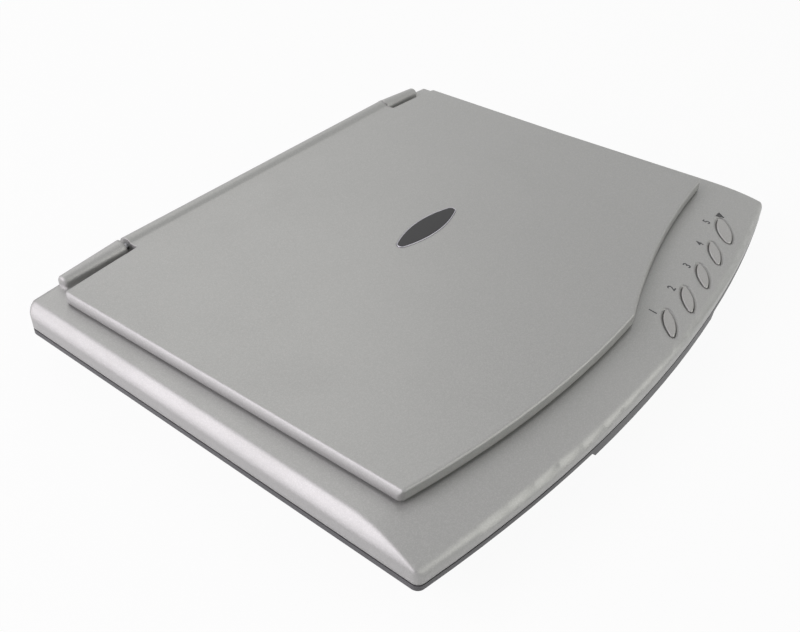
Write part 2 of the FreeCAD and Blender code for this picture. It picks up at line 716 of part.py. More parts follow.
def lower_tray():
    """The dark tray: a tapered pan with the rim that shows under the housing."""
    sharp = cell.rim_foot
    pan = Part.makeLoft([base_plan(cell.taper_inset, 0, cell.foot_rise).OuterWire,
                         base_plan(0, 0, sharp).OuterWire], True, True)
    rim = base_prism(0, 0, sharp, cell.seam)
    groove = base_prism(-1, -1, cell.seam - cell.groove_rise, cell.seam)
    groove = groove.cut(base_prism(cell.groove_inset, cell.groove_inset, sharp, cell.base_top))
    chin_foot = sharp - cell.chin_drop
    half = cell.chin_width / 2
    slanted = Part.makePolygon([Vector(-half, cell.front_line - 1, chin_foot),
                                Vector(half, cell.front_line - 1, chin_foot),
                                Vector(half + cell.chin_drop, cell.front_line - 1, sharp),
                                Vector(-half - cell.chin_drop, cell.front_line - 1, sharp),
                                Vector(-half, cell.front_line - 1, chin_foot)])
    bar = Part.Face(slanted).extrude(Vector(0, cell.base_depth / 2, 0))
    chin = bar.common(base_prism(0, 0, chin_foot - 1, sharp + 1))
    outer = pan.fuse([rim, chin])

    share = 1 - cell.tray_floor / cell.taper_rise
    low_inset = cell.taper_inset * share + cell.tray_wall
    wall = cell.tray_wall
    basin = Part.makeLoft([base_plan(low_inset, wall, cell.floor_top).OuterWire,
                           base_plan(wall, wall, sharp).OuterWire], True, True)
    mouth = base_prism(wall, wall, sharp, cell.seam + 1)
    hollow = basin.fuse(mouth)
    chin_back = bar.common(base_prism(0, 0, chin_foot, sharp))
    chin_back = chin_back.cut(base_prism(cell.chin_wall, 0, chin_foot - 1, sharp + 1))
    tray = outer.cut(hollow).fuse(chin_back)
    lip_inset = cell.side_wall + cell.lip_gap
    lip_foot = cell.seam - 2 * cell.lip_wall
    lip = base_prism(lip_inset, lip_inset, lip_foot, cell.seam + cell.lip_rise)
    inside = lip_inset + cell.lip_wall
    lip = lip.cut(base_prism(inside, inside, lip_foot - 1, cell.base_top))

    room = outer.fuse(base_prism(wall / 2, wall / 2, cell.seam - 1, cell.base_top))
    inner, outer_end, front, rear = post_range()
    fittings = [post(spot, cell.boss_radius, cell.foot_rise, cell.boss_top)
                for spot in screw_spots()]
    for side in (-1, 1):
        low = min(side * inner, side * outer_end)
        fittings.append(Part.makeBox(outer_end - inner, rear - front, cell.rod_up - cell.foot_rise,
                                     Vector(low, front, cell.foot_rise)))
    rail_top = cell.floor_top + cell.rail_rise
    for line in (cell.rack_rear + cell.lip_wall, cell.sensor_rear - cell.sensor_overlap):
        fittings.append(Part.makeBox(2 * inner, cell.rail_width, rail_top - cell.foot_rise,
                                     Vector(-inner, line, cell.foot_rise)))
    for spot in main_board_spots():
        fittings.append(post(spot, cell.board_post_radius, cell.foot_rise,
                             cell.main_board_bottom))
    fittings = [item.common(room) for item in fittings]
    tray = tray.fuse(fittings + [lip])

    holes = [groove]
    for spot in screw_spots():
        holes.append(post(spot, cell.screw_head_radius + cell.boss_gap, cell.foot_rise - 1,
                          cell.screw_seat))
        holes.append(post(spot, cell.screw_radius + cell.boss_gap / 2, cell.foot_rise,
                          cell.boss_top + 1))
        holes.append(post(spot, cell.boss_radius + cell.boss_gap, cell.boss_top, cell.base_top))
    for spot in foot_spots():
        holes.append(post(spot, cell.foot_radius + cell.foot_gap, cell.foot_rise - 1,
                          cell.foot_rise + cell.foot_seat))
    for spot in main_board_spots():
        holes.append(post(spot, cell.small_screw_radius, cell.floor_top, cell.base_top))
    for spot in clip_screw_spots():
        holes.append(post(spot, cell.small_screw_radius, cell.floor_top, cell.base_top))
    holes.append(Part.makeCylinder(cell.rod_radius, 2 * cell.rod_half,
                                   Vector(-cell.rod_half, cell.rod_along, cell.rod_up),
                                   Vector(1, 0, 0)))
    gap = cell.port_gap
    holes.append(Part.makeBox(cell.port_width + 2 * gap, cell.port_depth,
                              cell.port_height + 2 * gap,
                              Vector(cell.port_middle - cell.port_width / 2 - gap,
                                     cell.port_mouth - cell.port_depth / 2,
                                     cell.main_board_top - gap)))
    return tray.cut(holes).removeSplitter()


def foot_spots():
    """The middles of the four feet."""
    across = cell.rear_half - cell.foot_side_margin
    front = cell.front_line + cell.front_foot_setback
    rear = cell.rear_line - cell.rear_foot_setback
    return [Vector(-across, front, 0), Vector(across, front, 0),
            Vector(-across, rear, 0), Vector(across, rear, 0)]


def main_board_spots():
    """The two screws of the main board, near its ends."""
    across = cell.main_board_left + 2 * cell.small_head_radius
    rear = cell.main_board_rear - cell.port_depth - 2 * cell.small_head_radius
    front = cell.main_board_front + 2 * cell.small_head_radius
    return [Vector(across, front, 0), Vector(across, rear, 0)]


def clip_screw_spots():
    """One small screw beside the rod in each end clip."""
    inner, outer_end, front, rear = post_range()
    line = rear - 2 * cell.small_head_radius
    across = (inner + outer_end) / 2
    return [Vector(-across, line, 0), Vector(across, line, 0)]


# The cover

def lid_plan(level):
    """Face of the cover's outline: bowed at the rear, and cut away over the buttons."""
    half = cell.lid_half + cell.lid_flare
    rear = cell.lid_rear_corner
    left = cell.front_line + cell.lid_front_margin + cell.front_bow
    first_button = button_spot(0).x
    nose = Vector(first_button - cell.nose_lead, cell.front_line + cell.cut_start_margin, level)
    front_left = Vector(-half, left, level)
    chord_middle = (front_left + nose) / 2
    front_middle = Vector(chord_middle.x, chord_middle.y - cell.lid_front_bow, level)
    cut_middle = Vector(cell.last_button_across - cell.cut_middle_lead,
                        cell.front_line + cell.cut_middle_margin, level)
    cut_end = Vector(half, cell.front_corner + cell.cut_end_margin, level)
    rear_right = Vector(half, rear, level)
    rear_left = Vector(-half, rear, level)
    rear_middle = Vector(0, rear + cell.lid_rear_bow, level)
    edges = [
        Part.Arc(front_left, front_middle, nose).toShape(),
        Part.Arc(nose, cut_middle, cut_end).toShape(),
        Part.LineSegment(cut_end, rear_right).toShape(),
        Part.Arc(rear_right, rear_middle, rear_left).toShape(),
        Part.LineSegment(rear_left, front_left).toShape(),
    ]
    sharp = Part.Face(Part.Wire(edges))
    return sharp.makeOffset2D(-cell.lid_corner_radius).makeOffset2D(cell.lid_corner_radius)


def lid_shell():
    """The cover's top: a thin pan with a rolled rear edge that is the hinge barrel."""
    top = lid_plan(cell.lid_bottom).extrude(Vector(0, 0, cell.lid_thick))
    rim = [edge for edge in top.Edges if edge.BoundBox.ZMin > cell.lid_top - 0.01]
    top = top.makeFillet(cell.lid_edge_radius, rim)
    reach = 8.0
    half = cell.lid_half
    foot = cell.lid_top - cell.lid_bevel_rise
    run = math.hypot(cell.lid_flare, cell.lid_bevel_rise)
    bulge = cell.lid_side_bulge
    sides = []
    for side in (-1, 1):
        low = Vector(side * (half + cell.lid_flare + cell.lid_cut_spare), cell.front_line, foot)
        high = Vector(side * half, cell.front_line, cell.lid_top)
        middle = (low + high) / 2 + Vector(side * bulge * cell.lid_bevel_rise / run, 0,
                                           bulge * cell.lid_flare / run)
        arc = Part.Arc(low, middle, high).toShape()
        wide = side * (half + cell.lid_flare + reach)
        outside = [high, high + Vector(0, 0, reach), Vector(wide, low.y, high.z + reach),
                   Vector(wide, low.y, low.z), low]
        section = Part.Face(Part.Wire([arc] + Part.makePolygon(outside).Edges))
        sides.append(section.extrude(Vector(0, cell.base_depth, 0)))
    top = top.cut(sides)

    length = cell.barrel_right - cell.barrel_left
    start = Vector(cell.barrel_left, cell.hinge_along, cell.hinge_up)
    barrel = Part.makeCylinder(cell.barrel_radius, length, start, Vector(1, 0, 0))
    web_foot = cell.lid_bottom + cell.web_lift
    web_start = cell.lid_rear_corner - cell.lid_skirt
    web = Part.makeBox(length, cell.hinge_along - web_start, cell.lid_top - web_foot,
                       Vector(cell.barrel_left, web_start, web_foot))
    solid = top.fuse([barrel, web]).removeSplitter()
    crease = [edge for edge in solid.Edges
              if edge.BoundBox.YLength < 0.01 and edge.BoundBox.ZLength < 0.01
              and abs(edge.BoundBox.ZMin - cell.lid_top) < 0.01
              and edge.BoundBox.YMin > cell.lid_rear_corner
              and edge.Length > length / 2]
    if crease:
        solid = solid.makeFillet(cell.blend_radius, crease)
    cavity = lid_plan(cell.lid_bottom - 1).makeOffset2D(-cell.lid_skirt)
    cavity = cavity.extrude(Vector(0, 0, cell.lid_ceiling - cell.lid_bottom + 1))
    holes = [cavity]
    bore = cell.pin_radius + cell.pin_fit
    depth = cell.pin_in_barrel + cell.seat_gap
    holes.append(Part.makeCylinder(bore, depth, start, Vector(1, 0, 0)))
    end = start + Vector(length, 0, 0)
    holes.append(Part.makeCylinder(bore, depth, end, Vector(-1, 0, 0)))
    recess = badge_oval(cell.badge_edge, cell.lid_top - cell.badge_recess, cell.lid_top + 1)
    holes.append(recess)
    return solid.cut(holes).removeSplitter()


def lid_liner():
    """The flat white panel inside the cover."""
    face = lid_plan(cell.lid_ceiling - cell.liner_thick)
    face = face.makeOffset2D(-cell.lid_skirt - cell.liner_gap)
    return face.extrude(Vector(0, 0, cell.liner_thick))


def badge_oval(grow, bottom, top):
    """An upright oval bar at the badge, grown all round."""
    centre = Vector(cell.badge_across, cell.badge_along, 0)
    return oval_bar(centre, cell.badge_length, cell.badge_width, grow, bottom, top)


def lid_badge():
    """The blank oval plate on the cover, with a rounded rim."""
    bottom = cell.lid_top - cell.badge_recess
    plate = badge_oval(0, bottom, cell.lid_top + cell.badge_proud)
    rim = [edge for edge in plate.Edges if edge.BoundBox.ZMin > cell.lid_top]
    return plate.makeFillet(cell.badge_edge, rim)


# Gears and rack

def involute(base, radius):
    """The turn of an involute from a base circle out to a radius."""
    slope = math.acos(min(base / radius, 1.0))
    return math.tan(slope) - slope


def gear_face(module, teeth, tip_share, level):
    """Face of a spur gear about the Z axis, with one tooth centred on +Y."""
    pressure = math.radians(20)
    pitch = module * teeth / 2
    base = pitch * math.cos(pressure)
    tip = pitch + tip_share * module
    root = pitch - 1.25 * module
    half = math.pi / (2 * teeth) - cell.backlash / (2 * pitch) + involute(base, pitch)
    low = max(base, root) * 1.002
    turns = [half - involute(base, radius) for radius in (low, tip)]
    step = math.pi / teeth
    corners = []
    for tooth in range(teeth):
        centre = math.pi / 2 - 2 * step * tooth
        flank = ((root, turns[0]), (low, turns[0]), (tip, turns[1]),
                 (tip, -turns[1]), (low, -turns[0]), (root, -turns[0]))
        for radius, turn in flank:
            angle = centre + turn
            corners.append(Vector(radius * math.cos(angle), radius * math.sin(angle), level))
    return Part.Face(Part.makePolygon(corners + corners[:1]))


def gear(module, teeth, tip_share, spot, bottom, top, turn=0.0):
    """A spur gear standing at a point in plan."""
    form = gear_face(module, teeth, tip_share, bottom).extrude(Vector(0, 0, top - bottom))
    form.rotate(Vector(0, 0, 0), UP, turn)
    form.translate(Vector(spot.x, spot.y, 0))
    return form


def gear_spot():
    """Where the cluster gear stands when the head is at home."""
    return Vector(cell.home, cell.gear_along, 0)


def motor_spot():
    """Where the motor stands when the head is at home."""
    return Vector(cell.home, cell.motor_along, 0)


def cluster_gear():
    """Large wheel driven by the motor, on one hub with the small gear on the rack."""
    spot = gear_spot()
    wheel = gear(cell.train_module, int(cell.wheel_teeth), 0.6, spot, cell.wheel_bottom,
                 cell.wheel_top)
    small = gear(cell.rack_module, int(cell.rack_gear_teeth), 0.9, spot, cell.gear_bottom,
                 cell.wheel_bottom)
    bore = post(spot, cell.axle_radius + cell.axle_fit, cell.gear_bottom - 1, cell.plate_top)
    return wheel.fuse(small).cut(bore).removeSplitter()


def motor_pinion():
    """The motor's pinion. The space between two of its teeth faces the wheel's tooth."""
    teeth = int(cell.pinion_teeth)
    turn = 0.0 if teeth % 2 else 180.0 / teeth
    wheel_turn = 0.0 if int(cell.wheel_teeth) % 2 == 0 else 180.0 / cell.wheel_teeth
    toward_wheel = turn + wheel_turn * cell.wheel_teeth / teeth
    pinion = gear(cell.train_module, teeth, 0.9, motor_spot(), cell.wheel_bottom,
                  cell.wheel_top, toward_wheel)
    return pinion.cut(post(motor_spot(), cell.shaft_radius, cell.wheel_bottom - 1,
                           cell.wheel_top + 1))


def drive_rack():
    """The rack along the front of the tray floor, with its teeth toward the front."""
    module = cell.rack_module
    step = math.pi * module
    reach = post_range()[0] + cell.lip_rise
    tip_line = cell.rack_line - 0.45 * module
    root_line = cell.rack_line + module
    slant = math.tan(math.radians(20))
    half_pitch = step / 4 - cell.backlash / 2
    half_tip = half_pitch - 0.45 * module * slant
    half_root = half_pitch + module * slant
    # the small gear has a tooth or a space toward the rack, and the rack the other
    offset = step / 2 if int(cell.rack_gear_teeth) % 2 == 0 else 0.0
    first = math.ceil((-reach + step - cell.home - offset) / step)
    last = math.floor((reach - step - cell.home - offset) / step)
    level = cell.floor_top
    corners = [Vector(-reach, cell.rack_rear, level), Vector(-reach, root_line, level)]
    for tooth in range(first, last + 1):
        middle = cell.home + offset + tooth * step
        corners.append(Vector(middle - half_root, root_line, level))
        corners.append(Vector(middle - half_tip, tip_line, level))
        corners.append(Vector(middle + half_tip, tip_line, level))
        corners.append(Vector(middle + half_root, root_line, level))
    corners.append(Vector(reach, root_line, level))
    corners.append(Vector(reach, cell.rack_rear, level))
    face = Part.Face(Part.makePolygon(corners + corners[:1]))
    return face.extrude(Vector(0, 0, cell.rack_height))


# Pieces of the window

def window_pieces():
    """The glass, the adhesive ring that holds it to the top, and the white strip."""
    wide = "window_half + glass_lap"
    front = "window_front - glass_lap"
    rear = "window_rear + glass_lap - seat_gap * 3"
    node(block("scan_glass", ("-(%s)" % wide, wide), (front, rear),
               ("glass_bottom", "glass_top")))
    level = ("glass_top", "glass_top + tape_thick")
    ring = block("tape_outside", ("-(%s) + tape_inset" % wide, wide + " - tape_inset"),
                 (front + " + tape_inset", rear + " - tape_inset"), level)
    # the ring is narrow on the left, where the white strip lies beside the window
    strip = "white_strip_width + tape_inset / 2"
    inside = block("tape_inside",
                   ("-window_half - (%s)" % strip, "window_half + tape_inset"),
                   ("window_front - tape_inset", "window_rear + tape_inset"),
                   ("glass_top - 1", "glass_top + 1"))
    node(carve("glass_tape", ring, inside))
    node(block("calibration_strip",
               ("-window_half - white_strip_width", "-window_half - tape_inset / 2"),
               ("window_front", "window_rear"), level))


# Pieces of the cover

def pad_pieces():
    """The foam block behind the white sheet that presses the paper flat."""
    x = ("-window_half + pad_margin", "window_half - pad_margin")
    y = ("window_front + pad_margin", "window_rear - pad_margin")
    sheet_bottom = "glass_top + seat_gap"
    sheet_top = sheet_bottom + " + pad_cover_thick"
    node(block("pad_cover", x, y, (sheet_bottom, sheet_top)))
    node(block("foam_pad", x, y, (sheet_top, "lid_ceiling - liner_thick")))


def chamfered_bar(name, start, length, radius, chamfer):
    """A bar along X from a padded circle, with both ends chamfered."""
    body = doc.addObject("PartDesign::Body", name)
    sketch = new_sketch(body, name + "_circle", "YZ_Plane", start)
    draw_circle(sketch, ("hinge_along" if "pin" in name else "rod_along",
                         "hinge_up" if "pin" in name else "rod_up"), radius)
    bar = pad(body, sketch, length, name + "_bar")
    rims = ["Edge%d" % (k + 1) for k, edge in enumerate(bar.Shape.Edges)
            if edge.BoundBox.XLength < 0.01]
    ends = body.newObject("PartDesign::Chamfer", name + "_ends")
    ends.Base = (bar, rims)
    ends.Size = chamfer
    doc.recompute()
    return node(body)


def foot(name, spot_x, spot_y):
    """A round rubber foot, turned from half its section, seated in the tray."""
    body = doc.addObject("PartDesign::Body", name)
    sketch = new_sketch(body, name + "_section", "XZ_Plane")
    draw_outline(sketch, [("0", "0"), ("foot_radius - foot_round", "0"),
                          ("foot_radius", "foot_round"),
                          ("foot_radius", "foot_rise + foot_seat"),
                          ("0", "foot_rise + foot_seat")])
    turned = body.newObject("PartDesign::Revolution", name + "_turned")
    turned.Profile = sketch
    turned.ReferenceAxis = (sketch, ["V_Axis"])
    turned.Angle = 360
    doc.recompute()
    place(body, spot_x, spot_y, "0")
    return node(body)


def feet():
    """Four rubber feet."""
    across = "rear_half - foot_side_margin"
    front = "front_line + front_foot_setback"
    rear = "rear_line - rear_foot_setback"
    for side, sign in (("left", "-"), ("right", "+")):
        foot("foot_front_" + side, "%s(%s)" % (sign.replace("+", ""), across), front)
        foot("foot_rear_" + side, "%s(%s)" % (sign.replace("+", ""), across), rear)


# The moving head

def rail_lines():
    """The low side of the two rails that the frame's gliders run over."""
    return "rack_rear + lip_wall", "sensor_rear - sensor_overlap"


def carriage_frame():
    """The long plastic frame of the head: plate, low walls, saddle and gliders."""
    body = doc.addObject("PartDesign::Body", "carriage_frame")
    half = "frame_width / 2"
    plate = new_sketch(body, "frame_plan", "XY_Plane", "plate_bottom")
    draw_rectangle(plate, ("-" + half, half), ("frame_front", "frame_rear"))
    pad(body, plate, "frame_plate", "frame_floor")
    inner = "sensor_width / 2 + frame_gap"
    front = "sensor_front - frame_gap"
    rear = "sensor_rear + frame_gap"
    walls = new_sketch(body, "frame_walls_plan", "XY_Plane", "plate_top")
    draw_rectangle(walls, ("-(%s) - frame_wall" % inner, inner + " + frame_wall"),
                   (front + " - frame_wall", rear + " + frame_wall"))
    draw_rectangle(walls, ("-(%s)" % inner, inner), (front, rear))
    pad(body, walls, "frame_wall_rise", "frame_walls")
    saddle = new_sketch(body, "saddle_plan", "XY_Plane", "floor_top + running_gap")
    draw_rectangle(saddle, ("-" + half, half),
                   ("rod_along - saddle_width / 2", "rod_along + saddle_width / 2"))
    pad(body, saddle, "plate_bottom - floor_top - running_gap", "saddle")
    gliders = new_sketch(body, "glider_plan", "XY_Plane",
                         "floor_top + rail_rise + running_gap")
    for line in rail_lines():
        draw_rectangle(gliders, ("-frame_width / 4", "frame_width / 4"),
                       (line, line + " + rail_width"))
    pad(body, gliders, "plate_bottom - floor_top - rail_rise - running_gap", "gliders")
    bore = new_sketch(body, "rod_bore_circle", "YZ_Plane", half)
    draw_circle(bore, ("rod_along", "rod_up"), "bush_radius")
    pocket(body, bore, "frame_width", "rod_bore")
    holes = new_sketch(body, "gear_holes", "XY_Plane", "plate_top")
    draw_circle(holes, ("0", "motor_along"), "shaft_radius * 2")
    draw_circle(holes, ("0", "gear_along"), "axle_radius")
    for side in ("", "-"):
        draw_circle(holes, ("%s(motor_radius - small_head_radius / 2)" % side,
                            "motor_along %s (motor_radius - small_head_radius / 2)"
                            % ("+" if side else "-")), "small_screw_radius")
    pocket(body, holes, "frame_plate + 1", "shaft_and_screw_holes")
    body.setExpression("Placement.Base.x", bound("home"))
    return node(body)


def head_block(name, x, y, z):
    """A box whose X range is counted from the middle of the head."""
    return block(name, ("home + (%s)" % x[0], "home + (%s)" % x[1]), y, z)


def sensor_pieces():
    """The contact image sensor: its housing, optics, board, window and spacers."""
    half = "sensor_width / 2"
    body = head_block("sensor_block", ("-" + half, half), ("sensor_front", "sensor_rear"),
                      ("sensor_bottom", "sensor_top"))
    long = ("sensor_front + frame_end", "sensor_rear - frame_end")
    pane_x = ("-" + half + " + frame_wall", half + " - sensor_overlap")
    pane = head_block("window_slot", pane_x, long, ("sensor_top - frame_wall", "sensor_top + 1"))
    lens_x = ("-sensor_width / 4 - frame_wall", "-sensor_width / 4 + frame_wall / 2")
    guide_x = ("-frame_wall", "sensor_width / 6")
    optics = (("sensor_bottom + board_thick"), "sensor_top - frame_wall")
    lens_slot = head_block("lens_slot", lens_x, long, (optics[0], "sensor_top"))
    guide_z = ("sensor_top - sensor_overlap - frame_wall", optics[1])
    guide_slot = head_block("guide_slot", guide_x, long, (guide_z[0], "sensor_top"))
    board_x = ("-" + half + " + frame_wall", half + " - frame_wall")
    board_slot = head_block("board_slot", board_x, long,
                            ("sensor_bottom - 1", "sensor_bottom + board_thick"))
    node(carve("sensor_housing", body, pane, lens_slot, guide_slot, board_slot))
    node(head_block("sensor_window", pane_x, long,
                    ("sensor_top - frame_wall", "sensor_top")))
    node(head_block("rod_lens", lens_x, long, optics))
    node(head_block("light_guide", guide_x, long, guide_z))
    node(head_block("sensor_board", board_x, long,
                    ("sensor_bottom", "sensor_bottom + board_thick")))
    spacers = []
    for side, y in (("front", ("sensor_front", "sensor_front + frame_end")),
                    ("rear", ("sensor_rear - frame_end", "sensor_rear"))):
        spacers.append(head_block("spacer_" + side, ("-" + half + " / 2", half + " / 2"), y,
                                  ("sensor_top", "sensor_top + spacer_rise")))
    group("sensor_spacers", *spacers)


def leaf_spring(along):
    """An arched leaf between the frame and the sensor."""
    leaf = cell.spring_rise / 4
    half = cell.sensor_width / 2 - cell.frame_wall

    def arch(lift):
        foot_up = cell.plate_top + lift
        left = Vector(cell.home - half, along, foot_up)
        right = Vector(cell.home + half, along, foot_up)
        crown = Vector(cell.home, along, foot_up + cell.spring_rise - leaf)
        return Part.Arc(left, crown, right).toShape(), left, right

    low, low_left, low_right = arch(0)
    high, high_left, high_right = arch(leaf)
    outline = Part.Wire(Part.__sortEdges__([
        low, high, Part.LineSegment(low_left, high_left).toShape(),
        Part.LineSegment(low_right, high_right).toShape()]))
    return Part.Face(outline).extrude(Vector(0, cell.saddle_width, 0))


def head_pieces():
    """Bushes, springs, motor and axle carried by the frame."""
    bushes = []
    for name, low in (("left", "-frame_width / 2"), ("right", "frame_width / 2 - bush_length")):
        start = ("home + (%s)" % low, "rod_along", "rod_up")
        sleeve = round_bar("bush_%s_outside" % name, "x", "bush_radius", start, "bush_length")
        bore = round_bar("bush_%s_bore" % name, "x", "rod_radius + bush_fit", start,
                         "bush_length")
        bushes.append(carve("bush_" + name, sleeve, bore))
    group("rod_bushes", *bushes)
    reach = cell.sensor_overlap * 6
    feature("sensor_springs", Part.makeCompound([
        leaf_spring(cell.sensor_front + reach), leaf_spring(cell.sensor_rear - 2 * reach)]))
    spot = ("home", "motor_along", "plate_top")
    can = round_bar("motor_can", "z", "motor_radius", spot, "motor_height")
    flange = head_block("motor_flange", ("-motor_radius", "motor_radius"),
                        ("motor_along - motor_radius", "motor_along + motor_radius"),
                        ("plate_top", "plate_top + flange_thick"))
    shaft_way = round_bar("motor_shaft_way", "z", "shaft_radius + shaft_fit", spot,
                          "motor_height / 2")
    ways = [shaft_way]
    screws = []
    seat = "plate_top + flange_thick"
    for name, side, other in (("front", "+", "-"), ("rear", "-", "+")):
        x = "home %s (motor_radius - small_head_radius / 2)" % side
        y = "motor_along %s (motor_radius - small_head_radius / 2)" % other
        ways.append(round_bar("motor_way_" + name, "z", "small_screw_radius",
                              (x, y, "plate_top"), "flange_thick"))
        screws.append(small_screw("motor_screw_" + name, x, y, seat, True,
                                  "flange_thick + frame_plate - running_gap"))
    node(carve("drive_motor", join("motor_body", can, flange), *ways))
    group("motor_screws", *screws)
    node(join("gear_axle",
              round_bar("axle_pin", "z", "axle_radius",
                        ("home", "gear_along", "gear_bottom - running_gap / 2"),
                        "plate_top - gear_bottom + running_gap / 2"),
              round_bar("axle_head", "z", "axle_head_radius",
                        ("home", "gear_along", "gear_bottom - running_gap / 2 - frame_gap"),
                        "frame_gap")))
    node(round_bar("motor_shaft", "z", "shaft_radius", ("home", "motor_along", "wheel_bottom"),
                   "plate_top - wheel_bottom + motor_height / 2 - running_gap"))
    feature("cluster_gear", cluster_gear())
    feature("motor_pinion", motor_pinion())


# Screws

def small_screw(name, x, y, seat, head_up, length):
    """A pan-head screw along Z. Its head lies over the seat, or under it."""
    head_start = seat if head_up else "%s - small_head_height" % seat
    shank_start = "%s - (%s)" % (seat, length) if head_up else seat
    head = round_bar(name + "_head", "z", "small_head_radius", (x, y, head_start),
                     "small_head_height")
    shank = round_bar(name + "_shank", "z", "small_screw_radius", (x, y, shank_start), length)
    return join(name, head, shank)


def housing_screws():
    """The five long screws that hold the tray to the upper housing, heads below."""
    spots = (("front_left", "-front_screw_across", "front_screw_line"),
             ("front_right", "front_screw_across", "front_screw_line"),
             ("front_middle", "0", "middle_screw_line"),
             ("rear_left", "-rear_screw_across", "rear_screw_line"),
             ("rear_right", "rear_screw_across", "rear_screw_line"))
    screws = []
    for name, x, y in spots:
        head = round_bar("head_" + name, "z", "screw_head_radius",
                         (x, y, "screw_seat - screw_head_height"), "screw_head_height")
        shank = round_bar("shank_" + name, "z", "screw_radius", (x, y, "screw_seat"),
                          "screw_length")
        slot = block("slot_" + name, (x + " - screw_radius", x + " + screw_radius"),
                     (y + " - running_gap", y + " + running_gap"),
                     ("screw_seat - screw_head_height - 1", "screw_seat - screw_head_height / 2"))
        bar = block("cross_" + name, (x + " - running_gap", x + " + running_gap"),
                    (y + " - screw_radius", y + " + screw_radius"),
                    ("screw_seat - screw_head_height - 1", "screw_seat - screw_head_height / 2"))
        screws.append(carve("screw_" + name, join("solid_" + name, head, shank), slot, bar))
    group("housing_screws", *screws)


# The guide rod's ends

def rod_pieces():
    """The rod and the clip that holds each end down on its post."""
    chamfered_bar("guide_rod", "-rod_half", "2 * rod_half", "rod_radius", 0.4)
    inner = "(rod_half - bush_length + boss_gap * 2)"
    outer = "(rod_half + lip_rise)"
    y = ("rod_along - saddle_width / 2", "rod_along + saddle_width")
    z = ("rod_up", "rod_up + saddle_top")
    screws = []
    for side, x in (("left", ("-" + outer, "-" + inner)), ("right", (inner, outer))):
        clip = block("clip_block_" + side, x, y, z)
        bed = round_bar("clip_bed_" + side, "x", "rod_radius",
                        ("-rod_half", "rod_along", "rod_up"), "2 * rod_half")
        across = "(%s + %s) / 2" % x
        line = "rod_along + saddle_width - 2 * small_head_radius"
        way = round_bar("clip_way_" + side, "z", "small_screw_radius", (across, line, "rod_up"),
                        "saddle_top")
        node(carve("rod_clip_" + side, clip, bed, way))
        screws.append(small_screw("clip_screw_" + side, across, line, z[1], True,
                                  "2 * saddle_top"))
    group("clip_screws", *screws)


# Boards, port, cable

def main_board_pieces():
    """The main board in the right-hand bay, its screws and the port at the rear."""
    x = ("main_board_left", "main_board_left + main_board_width")
    y = ("main_board_front", "main_board_rear")
    board = block("board_blank", x, y, ("main_board_bottom", "main_board_top"))
    across = "main_board_left + 2 * small_head_radius"
    ways = []
    screws = []
    for name, line in (("front", y[0] + " + 2 * small_head_radius"),
                       ("rear", y[1] + " - port_depth - 2 * small_head_radius")):
        ways.append(round_bar("board_way_" + name, "z", "small_screw_radius",
                              (across, line, "main_board_bottom"), "board_thick"))
        screws.append(small_screw("board_screw_" + name, across, line, "main_board_top", True,
                                  "board_thick + bush_length"))
    node(carve("main_board", board, *ways))
    group("board_screws", *screws)
    half = "port_width / 2"
    outside = block("port_outside", ("port_middle - " + half, "port_middle + " + half),
                    ("port_mouth - port_depth", "port_mouth"),
                    ("main_board_top", "main_board_top + port_height"))
    inner = "(port_width / 2 - port_shell)"
    room = block("port_room", ("port_middle - " + inner, "port_middle + " + inner),
                 ("port_mouth - port_depth + port_shell", "port_mouth + 1"),
                 ("main_board_top + port_shell", "main_board_top + port_height - port_shell"))
    tongue = block("port_tongue", ("port_middle - port_width / 4", "port_middle + port_width / 4"),
                   ("port_mouth - port_depth + port_shell", "port_mouth - port_shell * 2"),
                   ("main_board_top + port_height / 2 - port_shell",
                    "main_board_top + port_height / 2 + port_shell"))
    node(join("usb_port", carve("port_box", outside, room), tongue))
    chip = block("control_chip", ("main_board_left + frame_wall",
                                  "main_board_left + main_board_width - frame_wall"),
                 ("(main_board_front + main_board_rear) / 2 - switch_size",
                  "(main_board_front + main_board_rear) / 2 + switch_size"),
                 ("main_board_top", "main_board_top + frame_plate"))
    node(chip)


def home_switch():
    """The switch in the left bay that the frame's plate presses at home."""
    tip = "home - frame_width / 2 - running_gap"
    face = tip + " - frame_plate"
    line = "window_front + switch_setback"
    up = "(plate_bottom + plate_top) / 2"
    case = block("switch_case", (face + " - switch_size", face),
                 (line + " - switch_size", line + " + switch_size"), ("floor_top", "plate_top"))
    knob = round_bar("switch_knob", "x", "frame_plate / 2", (face, line, up), "frame_plate")
    node(join("home_switch", case, knob))


def ribbon_cable():
    """Flat cable taped to the tray floor, from under the main board to the middle."""
    line = "(rod_along + window_rear) / 2"
    y = (line + " - saddle_width / 2", line + " + saddle_width / 2")
    riser = "main_board_left + switch_size"
    thick = "frame_gap"
    node(join("ribbon_cable",
              block("ribbon_run", ("0", riser), y, ("floor_top", "floor_top + " + thick)),
              block("ribbon_riser", (riser, riser + " + " + thick), y,
                    ("floor_top", "main_board_bottom"))))


def button_board():
    """The board under the buttons: its front follows the front arc."""
    bottom = cell.button_board_bottom
    rear = cell.button_board_rear
    start = button_spot(0).x - cell.button_board_lead
    reach = lens_spot().x + cell.button_board_margin
    radius = cell.front_arc - cell.button_board_setback

    def front(across):
        return Vector(across, cell.front_centre - math.sqrt(radius ** 2 - across ** 2), bottom)

    arc = Part.Arc(front(start), front((start + reach) / 2), front(reach)).toShape()
    back = Part.makePolygon([front(reach), Vector(reach, rear, bottom),
                             Vector(start, rear, bottom), front(start)])
    form = Part.Face(Part.Wire([arc] + back.Edges)).extrude(Vector(0, 0, cell.board_thick))
    holes = [post(spot, cell.small_screw_radius, bottom - 1, bottom + 2 * cell.board_thick)
             for spot in board_post_spots()]
    return form.cut(holes)


